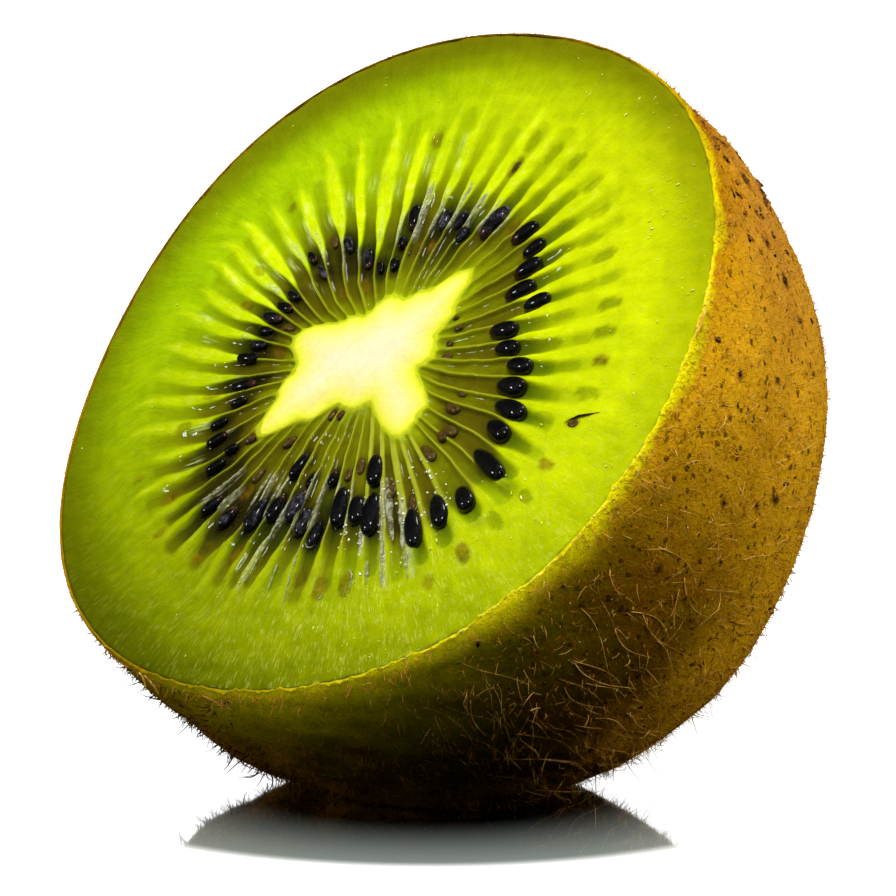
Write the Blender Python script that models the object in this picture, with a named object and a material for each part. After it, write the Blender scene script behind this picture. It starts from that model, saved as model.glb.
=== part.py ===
# Half a kiwifruit, cut across its middle and leaning back on its rounded skin side.
# The cut looks up and forwards at a slope, and a small flat spot on the skin rests at z = 0.
# Two solids: the flesh with its skin, seed chambers and seeds, and the pale core that runs down
# through it. Both are modelled in the frame of the cut: X across it, Y up its slope, Z out of it.
# Run with: blender --background --python part.py

import math
import random

import bmesh
import bpy
import numpy as np
from mathutils import Matrix, Vector

MM = 0.001

# stance: the middle of the cut over the flat spot, and the slope of the cut
CUT_CENTRE = Vector((1.9, -7.3, 30.9)) * MM
CUT_SLOPE = math.radians(52.3)

# outline of the cut, as seen looking straight at it
CUT_LONG = 54.0 * MM
CUT_SHORT = 53.2 * MM
CUT_LONG_WAY = math.radians(120.0)
THREE_LOBES = 0.0115
FOUR_LOBES = 0.014
FOUR_LOBES_WAY = math.radians(-40.0)

# the rounded body behind the cut, and the low button at its far end
BODY_DEPTH = 35.7 * MM
GIRTH_DEPTH = 6.0 * MM
FULLNESS = 2.3
END_LEAN = -2.0 * MM
LUMP_HEIGHT = 0.15 * MM
LUMP_WAVES = ((5, 300.0), (3, -410.0))
BUTTON_RADIUS = 3.4 * MM
BUTTON_HEIGHT = 0.7 * MM
RIM_ROUNDING = 0.5 * MM

# core: its star in degrees and millimetres, tip and hollow by turns, and how it runs to the far end
CORE_STAR = (
    (-166, 7.1), (-150, 8.3), (-134, 10.3), (-122, 6.9), (-106, 4.5), (-87, 5.1), (-70, 4.2),
    (-46, 8.4), (-30, 7.6), (-12, 4.3), (3, 5.0), (22, 4.8), (40, 6.3), (57, 8.4),
    (74, 5.4), (91, 4.4), (108, 4.8), (134, 4.0), (152, 5.0), (178, 8.3),
)
CORE_DEPTH = 28.0 * MM
CORE_ROUND = 5.2 * MM
CORE_END_SHARE = 0.4
CORE_DOME = 0.2 * MM
CORE_GAP = 0.35 * MM
SCALLOP = 0.25 * MM

# seed chambers: the number of them passed at each angle in degrees, their dip and their reach
CHAMBERS_AT = ((-50, 0), (54, 14), (108, 21), (180, 31), (238, 39), (310, 50))
CHAMBERS = 50
CHAMBER_DIP = 0.4 * MM
CHAMBER_END = 20.5 * MM
CHAMBER_FADE = 3.0 * MM

# seeds: the radius of their ring in millimetres at every 15 degrees, and the rows beside the ring
SEED_RING = (
    13.1, 10.6, 11.3, 13.0, 12.8, 11.0, 10.8, 11.2, 8.4, 11.4, 11.6, 11.0,
    11.5, 11.7, 13.0, 14.0, 15.3, 13.8, 13.0, 13.4, 14.4, 16.8, 16.4, 14.3,
)
EMPTY_CHAMBERS = (15, 20, 27, 38)
SIDE_ROWS = (
    {"first": 40, "last": 49, "step": 1, "inwards": 3.4 * MM, "size": 0.85},
    {"first": 40, "last": 44, "step": 2, "inwards": 7.6 * MM, "size": 0.6},
    {"first": 20, "last": 22, "step": 1, "inwards": 2.6 * MM, "size": 0.85},
    {"first": 24, "last": 38, "step": 2, "inwards": -2.8 * MM, "size": 0.75},
    {"first": 8, "last": 12, "step": 1, "inwards": 5.2 * MM, "size": 0.5},
    {"first": 2, "last": 5, "step": 1, "inwards": 5.4 * MM, "size": 0.6},
)
SEED_LENGTH = 2.45 * MM
SEED_LENGTH_SWING = 0.55 * MM
SEED_LARGEST_WAY = math.radians(-40.0)
SEED_SLIMNESS = 0.56
SEED_TAPER = 0.25
SEED_STANDS = 0.15 * MM
SEED_STRAY = 0.3 * MM
SEED_DRAW = 7

# finishes: colour and roughness
FINISHES = {
    "green_flesh": ((0.42, 0.60, 0.03), 0.35),
    "brown_skin": ((0.30, 0.17, 0.04), 0.75),
    "black_seed": ((0.01, 0.01, 0.01), 0.25),
    "cream_core": ((0.86, 0.85, 0.42), 0.4),
}
SHARP_EDGE = math.radians(50.0)
FACES_AWAY = -0.5
CUT_TOLERANCE = 1e-7

# facets
FINE_SIDES = 4 * CHAMBERS
SKIN_SIDES = 2 * CHAMBERS
WALL_SIDES = CHAMBERS
SKIN_RINGS = 12
SKIN_RINGS_UP_TO = 80.0
END_RINGS_AT = (83.5, 86.5)
RIM_CORNER = 0.3 * RIM_ROUNDING
RIM_SHARE = 0.9
CHAMBER_RINGS_AT = (0.76, 0.62, 0.48, 0.35, 0.22, 0.09)
CORE_TOP_RINGS_AT = (0.45, 0.85)
CORE_RINGS = 6
SEED_SIDES = 5
SEED_RINGS = 3


def clear_objects():
    for thing in list(bpy.data.objects):
        bpy.data.objects.remove(thing, do_unlink=True)


def finish_of(name, colour, roughness):
    finish = bpy.data.materials.new(name)
    finish.use_nodes = True
    shader = finish.node_tree.nodes["Principled BSDF"]
    shader.inputs["Base Color"].default_value = (*colour, 1.0)
    shader.inputs["Roughness"].default_value = roughness
    shader.inputs["Metallic"].default_value = 0.0
    return finish


def smooth_step(value):
    held = np.clip(value, 0.0, 1.0)
    return held * held * (3.0 - 2.0 * held)


def chamber_angle(count):
    """Angle of a chamber's middle, by its place in the row; halves fall on the walls between."""
    angles, counts = np.transpose(CHAMBERS_AT)
    turns = np.floor(np.asarray(count) / CHAMBERS)
    return np.radians(np.interp(count - turns * CHAMBERS, counts, angles) + 360.0 * turns)


def round_the_cut(sides):
    """Angles of a ring's corners, spread as the chambers are."""
    return chamber_angle(np.arange(sides) * (CHAMBERS / sides))


def cut_radius(angle):
    """Outline of the cut: an ellipse with three and four soft lobes."""
    turned = angle - CUT_LONG_WAY
    ellipse = 0.5 / np.hypot(np.cos(turned) / CUT_LONG, np.sin(turned) / CUT_SHORT)
    return ellipse * (
        1.0 + THREE_LOBES * np.cos(3 * angle) + FOUR_LOBES * np.cos(4 * (angle - FOUR_LOBES_WAY))
    )


def body_share(depth):
    """Width at a depth behind the cut, as a share of the width at the cut."""
    reach = BODY_DEPTH - GIRTH_DEPTH
    bulge = 1.0 - np.abs((depth - GIRTH_DEPTH) / reach) ** FULLNESS
    return np.sqrt(bulge / (1.0 - (GIRTH_DEPTH / reach) ** FULLNESS))


def lean_at(depth):
    """Sideways lean of the body's axis, which grows towards the far end."""
    return END_LEAN * (depth / (BODY_DEPTH - GIRTH_DEPTH)) ** 2


def core_radius(angle):
    """Star of the core: half a cosine wave from each tip to the next hollow."""
    degrees = np.degrees(angle)
    ways, radii = np.transpose(CORE_STAR)
    ways = np.append(ways, ways[0] + 360)
    radii = np.append(radii, radii[0]) * MM
    degrees = (degrees - ways[0]) % 360 + ways[0]
    low = np.clip(np.searchsorted(ways, degrees, side="right") - 1, 0, len(ways) - 2)
    share = (degrees - ways[low]) / (ways[low + 1] - ways[low])
    return radii[low] + (radii[low + 1] - radii[low]) * 0.5 * (1.0 - np.cos(math.pi * share))


def chamber_wave(sides):
    """1 in the middle of each chamber and 0 on the walls between, for a ring of that many sides."""
    return 0.5 + 0.5 * np.cos(2.0 * math.pi * np.arange(sides) * (CHAMBERS / sides))


def ring_of(sides, radius, height, lean=0.0):
    """Points of one ring, as an array of X, Y and Z."""
    angle = round_the_cut(sides)
    points = np.empty((sides, 3))
    points[:, 0] = radius * np.cos(angle) + lean
    points[:, 1] = radius * np.sin(angle)
    points[:, 2] = height
    return points


def skin_rings():
    """Rings of the skin, from near the far end up to the cut's rim."""
    reach = BODY_DEPTH - GIRTH_DEPTH
    start = -math.asin(GIRTH_DEPTH / reach)
    body_turns = np.linspace(start, math.radians(SKIN_RINGS_UP_TO), SKIN_RINGS)
    turns = np.append(body_turns, np.radians(END_RINGS_AT))
    angle = round_the_cut(SKIN_SIDES)
    rings = []
    for turn in turns[::-1]:
        depth = GIRTH_DEPTH + reach * math.sin(turn)
        radius = cut_radius(angle) * body_share(depth)
        lumps = sum(np.cos(count * angle + twist * depth) for count, twist in LUMP_WAVES)
        radius = radius + LUMP_HEIGHT * lumps * math.sin(math.pi * depth / BODY_DEPTH)
        button = BUTTON_HEIGHT * (1.0 - smooth_step(2.0 * radius / BUTTON_RADIUS - 1.0))
        rings.append(ring_of(SKIN_SIDES, radius, -depth - button, lean_at(depth)))
    rings[-1][:, 2] = -RIM_ROUNDING
    return rings


def cut_rings():
    """Rings of the cut from its rim to the core: chambers dip, and the walls between them stay."""
    angle = round_the_cut(SKIN_SIDES)
    rim = cut_radius(angle)
    rings = [
        ring_of(SKIN_SIDES, rim - RIM_CORNER, -RIM_CORNER),
        ring_of(SKIN_SIDES, rim - RIM_ROUNDING, 0.0),
        ring_of(SKIN_SIDES, RIM_SHARE * rim, 0.0),
    ]
    angle = round_the_cut(FINE_SIDES)
    rim = cut_radius(angle)
    wave = chamber_wave(FINE_SIDES)
    core = core_radius(angle) - SCALLOP * wave + CORE_GAP
    for share in CHAMBER_RINGS_AT:
        radius = core + (rim - core) * share
        fade = smooth_step((CHAMBER_END - radius) / CHAMBER_FADE)
        rings.append(ring_of(FINE_SIDES, radius, -CHAMBER_DIP * wave * fade))
    rings.append(ring_of(FINE_SIDES, core, 0.0))
    return rings


def core_rings(extra):
    """Rings down the core's wall, wider by extra: the star turns round and narrows with depth."""
    angle = round_the_cut(WALL_SIDES)
    rings = []
    for share in np.linspace(0.0, 1.0, CORE_RINGS + 1)[1:]:
        depth = share * CORE_DEPTH + extra
        star = core_radius(angle) * (1.0 - share) + CORE_ROUND * share
        radius = star * (1.0 - (1.0 - CORE_END_SHARE) * share ** 2) + extra
        rings.append(ring_of(WALL_SIDES, radius, -depth, lean_at(depth)))
    return rings


def join_rings(builder, outer, inner):
    """Faces between two rings, where the longer ring has a whole number of sides to each of the other."""
    if len(outer) < len(inner):
        for face in strips(inner, outer):
            builder.faces.new(face[::-1])
    else:
        for face in strips(outer, inner):
            builder.faces.new(face)


def strips(fine, plain):
    """Corners of the faces from a fine ring to a plain one: a fan at each end of each plain side."""
    ratio = len(fine) // len(plain)
    half = ratio // 2
    faces = []
    for side, corner in enumerate(plain):
        following = plain[(side + 1) % len(plain)]
        group = [fine[(side * ratio + step) % len(fine)] for step in range(ratio + 1)]
        if ratio == 1:
            faces.append((group[0], group[1], following, corner))
            continue
        faces.extend((group[step], group[step + 1], corner) for step in range(half))
        faces.append((group[half], following, corner))
        faces.extend((group[step], group[step + 1], following) for step in range(half, ratio))
    return faces


def solid_from_rings(name, first_point, rings, last_point):
    """A closed mesh: a point, rings in order, and a point at the other end."""
    builder = bmesh.new()
    rows = [[builder.verts.new(point) for point in ring] for ring in rings]
    start = builder.verts.new(first_point)
    end = builder.verts.new(last_point)
    for here, following in zip(rows[0], rows[0][1:] + rows[0][:1]):
        builder.faces.new((start, here, following))
    for outer, inner in zip(rows, rows[1:]):
        join_rings(builder, outer, inner)
    for here, following in zip(rows[-1], rows[-1][1:] + rows[-1][:1]):
        builder.faces.new((following, here, end))
    bmesh.ops.recalc_face_normals(builder, faces=builder.faces)
    mesh = bpy.data.meshes.new(name)
    builder.to_mesh(mesh)
    builder.free()
    return mesh


def seed_places():
    """Middle, angle and length of each seed: one to a chamber on the ring, and the rows beside it."""
    draw = random.Random(SEED_DRAW)
    ring_angles = np.linspace(0.0, 2.0 * math.pi, len(SEED_RING) + 1)
    ring_radii = np.append(SEED_RING, SEED_RING[0]) * MM
    wanted = [(place, 0.0, 1.0) for place in range(CHAMBERS) if place not in EMPTY_CHAMBERS]
    for row in SIDE_ROWS:
        for place in range(row["first"], row["last"] + 1, row["step"]):
            wanted.append((place, row["inwards"], row["size"]))
    places = []
    for place, inwards, size in wanted:
        angle = float(chamber_angle(place))
        stray = draw.uniform(-SEED_STRAY, SEED_STRAY)
        radius = float(np.interp(angle % (2.0 * math.pi), ring_angles, ring_radii))
        length = SEED_LENGTH + SEED_LENGTH_SWING * math.cos(angle - SEED_LARGEST_WAY)
        places.append((radius - inwards + stray, angle, length * size))
    return places


def seed_mesh(name):
    """A seed one unit long: an egg with its narrow end inwards, along X."""
    rings = []
    sides = np.arange(SEED_SIDES) * (2.0 * math.pi / SEED_SIDES)
    for step in range(1, SEED_RINGS + 1):
        turn = math.pi * step / (SEED_RINGS + 1)
        along = -0.5 * math.cos(turn)
        wide = 0.5 * SEED_SLIMNESS * math.sin(turn) * (1.0 + SEED_TAPER * along)
        ring = np.empty((SEED_SIDES, 3))
        ring[:, 0] = along
        ring[:, 1] = wide * np.cos(sides)
        ring[:, 2] = wide * np.sin(sides)
        rings.append(ring)
    return solid_from_rings(name, (-0.5, 0.0, 0.0), rings, (0.5, 0.0, 0.0))


def add_object(name, mesh, parent, collection):
    thing = bpy.data.objects.new(name, mesh)
    thing.parent = parent
    collection.objects.link(thing)
    return thing


def fuse_seeds(flesh, parent, finishes):
    """Lay the seeds in their chambers and make them one body with the flesh."""
    heap = bpy.data.collections.new("seeds_to_fuse")
    bpy.context.scene.collection.children.link(heap)
    mesh = seed_mesh("seed")
    for finish in finishes:
        mesh.materials.append(finish)
    for face in mesh.polygons:
        face.material_index = len(finishes) - 1
    for number, (radius, angle, length) in enumerate(seed_places()):
        seed = add_object(f"seed_{number}", mesh, parent, heap)
        seed.location = (radius * math.cos(angle), radius * math.sin(angle), -SEED_STANDS)
        seed.rotation_euler = (0.0, 0.0, angle)
        seed.scale = (length, length, length)
    union = flesh.modifiers.new("seeds", "BOOLEAN")
    union.operation = "UNION"
    union.operand_type = "COLLECTION"
    union.collection = heap
    union.solver = "EXACT"
    bpy.context.view_layer.update()
    evaluated = flesh.evaluated_get(bpy.context.evaluated_depsgraph_get())
    fused = bpy.data.meshes.new_from_object(evaluated)
    flesh.modifiers.clear()
    flesh.data = fused
    for seed in list(heap.objects):
        bpy.data.objects.remove(seed, do_unlink=True)
    bpy.data.collections.remove(heap)


def cut_flat_spot(flesh, stance):
    """Take off what lies under z = 0 and close the opening with one flat face."""
    into_cut = stance.inverted()
    builder = bmesh.new()
    builder.from_mesh(flesh.data)
    cut = bmesh.ops.bisect_plane(
        builder,
        geom=builder.verts[:] + builder.edges[:] + builder.faces[:],
        dist=CUT_TOLERANCE,
        plane_co=into_cut @ Vector((0.0, 0.0, 0.0)),
        plane_no=into_cut.to_3x3() @ Vector((0.0, 0.0, 1.0)),
        clear_inner=True,
    )
    rim = [part for part in cut["geom_cut"] if isinstance(part, bmesh.types.BMEdge)]
    bmesh.ops.contextual_create(builder, geom=rim)
    bmesh.ops.recalc_face_normals(builder, faces=builder.faces)
    builder.to_mesh(flesh.data)
    builder.free()


def colour_flesh(mesh):
    """Skin on the faces behind the cut that look outwards, green on the rest."""
    for face in mesh.polygons:
        behind = face.center.z < -RIM_ROUNDING
        outwards = face.normal.xy.dot(face.center.xy) > 0.0 or face.normal.z < FACES_AWAY
        face.material_index = 1 if behind and outwards else 0


def build():
    clear_objects()
    green, brown, black, cream = [finish_of(name, *look) for name, look in FINISHES.items()]
    collection = bpy.context.scene.collection

    stance = Matrix.Translation(CUT_CENTRE) @ Matrix.Rotation(CUT_SLOPE, 4, "X")
    cut_frame = bpy.data.objects.new("cut_frame", None)
    cut_frame.location = CUT_CENTRE
    cut_frame.rotation_euler = (CUT_SLOPE, 0.0, 0.0)
    collection.objects.link(cut_frame)

    far_end = (lean_at(BODY_DEPTH), 0.0, -BODY_DEPTH - BUTTON_HEIGHT)
    pocket_end = (lean_at(CORE_DEPTH), 0.0, -CORE_DEPTH - CORE_GAP)
    rings = skin_rings() + cut_rings() + core_rings(CORE_GAP)
    mesh = solid_from_rings("flesh", far_end, rings, pocket_end)
    for finish in (green, brown, black):
        mesh.materials.append(finish)
    colour_flesh(mesh)
    flesh = add_object("flesh", mesh, cut_frame, collection)
    fuse_seeds(flesh, cut_frame, (green, brown, black))
    cut_flat_spot(flesh, stance)

    angle = round_the_cut(FINE_SIDES)
    outline = core_radius(angle) - SCALLOP * chamber_wave(FINE_SIDES)
    star = core_radius(round_the_cut(WALL_SIDES))
    rings = [
        ring_of(WALL_SIDES, star * share, CORE_DOME * math.sqrt(1.0 - share ** 2))
        for share in CORE_TOP_RINGS_AT
    ]
    rings += [ring_of(FINE_SIDES, outline, 0.0)] + core_rings(0.0)
    core_end = (lean_at(CORE_DEPTH), 0.0, -CORE_DEPTH)
    mesh = solid_from_rings("core", (0.0, 0.0, CORE_DOME), rings, core_end)
    mesh.materials.append(cream)
    core = add_object("core", mesh, cut_frame, collection)

    for thing in (flesh, core):
        thing.data.shade_smooth()
        thing.data.set_sharp_from_angle(angle=SHARP_EDGE)
    bpy.context.view_layer.update()


build()
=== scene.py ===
# A halved kiwifruit leaning back on its skin: flesh with its chambers, core, seeds, skin and hairs.
# Shapes are worked out in the frame of the cut, in millimetres: x across it, y up its slope, z out of it.
import math

import bpy
import numpy as np
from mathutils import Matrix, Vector


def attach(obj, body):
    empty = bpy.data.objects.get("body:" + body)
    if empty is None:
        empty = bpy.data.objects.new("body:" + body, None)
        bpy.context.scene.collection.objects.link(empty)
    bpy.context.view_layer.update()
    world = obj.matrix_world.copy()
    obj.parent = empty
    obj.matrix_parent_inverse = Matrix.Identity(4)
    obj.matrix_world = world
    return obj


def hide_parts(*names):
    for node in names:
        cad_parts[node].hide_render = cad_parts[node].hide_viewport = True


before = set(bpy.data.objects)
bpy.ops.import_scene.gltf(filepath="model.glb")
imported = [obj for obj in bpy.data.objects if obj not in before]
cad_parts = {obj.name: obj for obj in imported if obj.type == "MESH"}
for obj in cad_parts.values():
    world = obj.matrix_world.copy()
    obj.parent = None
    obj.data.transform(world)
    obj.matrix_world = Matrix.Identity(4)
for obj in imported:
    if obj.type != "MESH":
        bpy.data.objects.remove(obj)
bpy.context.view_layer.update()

fruit = {
    "cutCentre": (1.9, -7.3, 30.9), "cutSlope": 52.3,
    "cutLong": 54.0, "cutShort": 53.2, "cutLongWay": 120.0,
    "threeLobes": 0.0115, "fourLobes": 0.014, "fourLobesWay": -40.0,
    "bodyDepth": 35.7, "girthDepth": 6.0, "fullness": 2.3, "endLean": -2.0,
    "lumpHeight": 0.15, "lumpWaves": ((5, 0.300), (3, -0.410)),
    "skinRipples": ((0.10, 6.0, 3), (0.045, 2.2, 4)), "skinSettling": 0.08,
    "buttonRadius": 3.4, "buttonHeight": 0.7,
    # core: tips and hollows of its star, in degrees and mm
    "coreStar": (
        (-166, 7.1), (-150, 8.3), (-134, 10.3), (-122, 6.9), (-106, 4.5), (-87, 4.6), (-70, 4.2),
        (-46, 8.4), (-30, 7.6), (-12, 4.3), (3, 5.0), (22, 4.8), (40, 6.3), (57, 8.4),
        (74, 5.4), (91, 4.4), (108, 4.8), (134, 4.0), (152, 5.0), (178, 8.3),
    ),
    "coreDepth": 28.0, "coreRound": 5.2, "coreEndShare": 0.4, "coreDome": 0.2,
    # walls between the seed chambers: their ways at the ring of seeds, in degrees
    "wallRing": 13.5,
    "walls": (
        4.1, 11.5, 19.9, 27.3, 35.1, 41.9, 49.8, 57.4, 64.5, 72.5, 79.0, 86.7, 94.6, 101.8, 109.6,
        118.3, 127.0, 134.2, 142.2, 149.2, 156.0, 161.8, 166.8, 173.3, 179.2, -172.6, -165.3, -158.7,
        -151.2, -143.2, -136.0, -129.0, -124.4, -118.4, -107.5, -101.0, -95.5, -89.3, -82.8, -76.3,
        -70.1, -63.6, -57.6, -51.3, -46.3, -40.6, -33.3, -29.0, -22.9, -15.5, -9.8, -2.6,
    ),
    # how far the walls turn 5 mm inside the ring and 4.5 mm beyond it, in degrees, every 15 degrees from 0
    "leanIn": (
        -2.6, -1.5, -0.3, 0.8, -0.3, 0.6, 1.3, 3.0, 3.6, 5.9, 5.2, 4.2,
        2.9, 1.2, -0.3, -2.6, -3.4, -6.6, -1.4, -1.1, 0.8, -0.8, -4.2, -4.4,
    ),
    "leanOut": (
        1.9, 1.5, -0.4, -0.5, 0.2, 0.2, -0.1, -1.1, -2.0, -1.2, -1.2, -2.2,
        -2.1, -2.7, -2.8, -2.2, 1.0, 2.0, -1.6, 0.6, -0.4, -0.3, 1.5, 0.0,
    ),
    # radius of the ring of seeds, every 15 degrees
    "seedRing": (
        13.1, 10.6, 11.3, 13.0, 12.8, 11.0, 10.8, 11.2, 8.4, 11.4, 11.6, 11.0,
        11.5, 11.7, 13.0, 15.0, 16.2, 15.4, 14.9, 15.2, 15.8, 16.8, 16.4, 14.3,
    ),
}
slope = math.radians(fruit["cutSlope"])
bodyReach = fruit["bodyDepth"] - fruit["girthDepth"]
walls = np.sort(np.array(fruit["walls"]) % 360.0)
wallGaps = np.diff(np.append(walls, walls[0] + 360.0))


def smooth(value):  # 3v^2 - 2v^3, held between 0 and 1
    held = np.clip(value, 0.0, 1.0)
    return held * held * (3.0 - 2.0 * held)


def unit(vectors):  # each vector over its length
    return vectors / np.linalg.norm(vectors, axis=-1)[..., None]


def polar(angle, radius, height=0.0):  # r cos a, r sin a and the height
    angle, radius, height = np.broadcast_arrays(angle, radius, height)
    return np.stack([radius * np.cos(angle), radius * np.sin(angle), height], -1)


def toRow(points):  # turned by the slope about x, moved to the middle of the cut, mm to m
    x, y, z = points[..., 0], points[..., 1], points[..., 2]
    up, out = math.sin(slope), math.cos(slope)
    turned = np.stack([x, y * out - z * up, y * up + z * out], -1)
    return (turned + np.array(fruit["cutCentre"])) * 0.001


def swing(angle, mean, *waves):  # mean plus cosines: each has its size, its count round the fruit, its way
    return mean + sum(size * np.cos(count * (angle - math.radians(way))) for size, count, way in waves)


def apart(degrees, way):  # the angle from a way, between -180 and 180 degrees
    return (degrees - way + 180.0) % 360.0 - 180.0


def near(angle, way, width):  # 1 at a way in degrees, falling off over a width as exp(-d^2)
    return np.exp(-(apart(np.degrees(angle), way) / width) ** 2)


def nearestWall(way):
    return int(np.argmin(np.abs(apart(walls, way))))


def roundCut(values, angle, eased=False):  # values at even steps round the cut, joined by lines or eased
    place = np.degrees(angle) % 360.0 / (360.0 / len(values))
    low = np.floor(place).astype(int) % len(values)
    share = smooth(place - np.floor(place)) if eased else place - np.floor(place)
    values = np.array(values)
    return values[low] * (1 - share) + values[(low + 1) % len(values)] * share


def cutRadius(angle):  # ellipse with three and four soft lobes
    turned = angle - math.radians(fruit["cutLongWay"])
    ellipse = 0.5 / np.hypot(np.cos(turned) / fruit["cutLong"], np.sin(turned) / fruit["cutShort"])
    lobes = fruit["threeLobes"] * np.cos(3 * angle)
    lobes = lobes + fruit["fourLobes"] * np.cos(4 * (angle - math.radians(fruit["fourLobesWay"])))
    return ellipse * (1.0 + lobes)


def bodyShare(depth):  # width at a depth over the width at the cut: sqrt(1 - d^2.3)
    bulge = 1.0 - np.abs((depth - fruit["girthDepth"]) / bodyReach) ** fruit["fullness"]
    return np.sqrt(np.clip(bulge, 0.0, 1.0) / (1.0 - (fruit["girthDepth"] / bodyReach) ** fruit["fullness"]))


def leanAt(depth):  # sideways lean of the body's axis along x, growing as depth squared
    return polar(0.0, fruit["endLean"] * (depth / bodyReach) ** 2)


def coreRadius(angle):  # half a cosine wave from each tip of the star to the next hollow
    ways, radii = np.transpose(fruit["coreStar"])
    ways, radii = np.append(ways, ways[0] + 360), np.append(radii, radii[0])
    degrees = (np.degrees(angle) - ways[0]) % 360 + ways[0]
    low = np.clip(np.searchsorted(ways, degrees, side="right") - 1, 0, len(ways) - 2)
    share = (degrees - ways[low]) / (ways[low + 1] - ways[low])
    return radii[low] + (radii[low + 1] - radii[low]) * 0.5 * (1.0 - np.cos(math.pi * share))


def leaned(base, radius):  # way at a radius of what passes the ring at the base angle
    def grown(way):  # starts softly, is 1 where way is 1: 1.4 w^2 / (w + 0.4)
        held = np.clip(way, 0.0, 1.3)
        return 1.4 * held * held / (held + 0.4)

    inward = roundCut(fruit["leanIn"], base) * grown((fruit["wallRing"] - radius) / 5.0)
    outward = roundCut(fruit["leanOut"], base) * grown((radius - fruit["wallRing"]) / 4.5)
    return base + np.radians(inward + outward * (1.0 - smooth((radius - 20.0) / 4.0)))


def acrossChamber(angle, radius):  # place across a chamber, from -0.5 at one wall to 0.5 at the next
    base = angle
    for _ in range(4):
        base = angle - (leaned(base, radius) - base)
    degrees = (np.degrees(base) - walls[0]) % 360.0 + walls[0]
    chamber = np.clip(np.searchsorted(walls, degrees, side="right") - 1, 0, len(walls) - 1)
    return (degrees - walls[chamber]) / wallGaps[chamber] - 0.5


def ripples(points, *rows):
    # for each height, length and seed: cosine waves of random ways and of about that length, added up
    count, total = 12, 0.0
    for height, length, seed in rows:
        draw = np.random.default_rng(seed)
        ways = unit(draw.normal(size=(count, 3)))
        ways *= (2.0 * math.pi / (length * draw.uniform(0.7, 1.5, count)))[:, None]
        starts = draw.uniform(0, 2 * math.pi, count)
        waves = sum(np.cos(points @ way + start) for way, start in zip(ways, starts))
        total = total + height * (waves / math.sqrt(count))
    return total


def skinSurface(angle, depth, sunk=0.0):
    # radius = cutRadius * bodyShare + lumps; the far end carries a low button; unevenness by ripples
    angle, depth = np.broadcast_arrays(np.asarray(angle, float), np.asarray(depth, float))
    radius = cutRadius(angle) * bodyShare(depth)
    lumps = sum(np.cos(count * angle + twist * depth) for count, twist in fruit["lumpWaves"])
    radius = radius + fruit["lumpHeight"] * lumps * np.sin(math.pi * depth / fruit["bodyDepth"])
    button = fruit["buttonHeight"] * (1.0 - smooth(2.0 * radius / fruit["buttonRadius"] - 1.0))
    uneven = ripples(polar(angle, radius, -depth), *fruit["skinRipples"]) - fruit["skinSettling"]
    fade = smooth(depth / 3.0) * smooth(radius / 4.0)
    radius = np.maximum(radius + uneven * fade - sunk * smooth(radius / 2.0), 0.0)
    return polar(angle, radius, -depth - button + sunk * (1 - bodyShare(depth))) + leanAt(depth)


def skinNormal(angle, depth):  # places on the skin, and the cross product of two small steps on it
    step = 0.02
    here = skinSurface(angle, depth)
    aside = skinSurface(angle + step / 20.0, depth) - here
    down = skinSurface(angle, depth + step) - here
    return here, unit(np.cross(down, aside))


def addObject(name, data):
    thing = bpy.data.objects.new(name, data)
    bpy.context.scene.collection.objects.link(thing)
    return thing


def makePiece(name, look, points, faces, fields=None, replaced=()):
    # points become one mesh, faces are arrays of three or four corners; fields are values at the points
    spots = toRow(points)
    spots[:, 2] = np.maximum(spots[:, 2], 0.0)
    mesh = bpy.data.meshes.new(name)
    corners = np.concatenate([part.ravel() for part in faces])
    sizes = np.concatenate([np.full(len(part), part.shape[1]) for part in faces])
    mesh.vertices.add(len(spots))
    mesh.vertices.foreach_set("co", spots.ravel())
    mesh.loops.add(len(corners))
    mesh.loops.foreach_set("vertex_index", corners.astype(np.int32))
    mesh.polygons.add(len(sizes))
    mesh.polygons.foreach_set("loop_start", (np.cumsum(sizes) - sizes).astype(np.int32))
    mesh.polygons.foreach_set("loop_total", sizes.astype(np.int32))
    mesh.update(calc_edges=True)
    mesh.validate()
    for title, values in (fields or {}).items():
        kind, key = ("FLOAT_VECTOR", "vector") if values.ndim == 2 else ("FLOAT", "value")
        mesh.attributes.new(title, kind, "POINT").data.foreach_set(key, values.ravel())
    mesh.polygons.foreach_set("use_smooth", np.full(len(sizes), True))
    mesh.materials.append(look.material)
    piece = addObject(name, mesh)
    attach(piece, "root")
    if replaced:
        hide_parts(*replaced)
    print(f"{name}: {int((sizes - 2).sum())} triangles")


def ringFaces(index):  # four corners between each ring of points and the next, rings along the last axis
    after = np.roll(index, -1, -1)
    corners = [index[..., :-1, :], after[..., :-1, :], after[..., 1:, :], index[..., 1:, :]]
    return np.stack(corners, -1).reshape(-1, 4)


def ballFaces(rows, sides, flip=False):
    # rings of the same number of points, closed by a point at each end, which come last in the list
    index = np.arange(rows * sides).reshape(rows, sides)
    after = np.roll(index, -1, 1)
    first, last = rows * sides, rows * sides + 1
    caps = np.concatenate([
        np.stack([np.full(sides, first), after[0], index[0]], -1),
        np.stack([np.full(sides, last), index[-1], after[-1]], -1),
    ])
    faces = [ringFaces(index), caps]
    return [part[:, ::-1] for part in faces] if flip else faces


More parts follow.
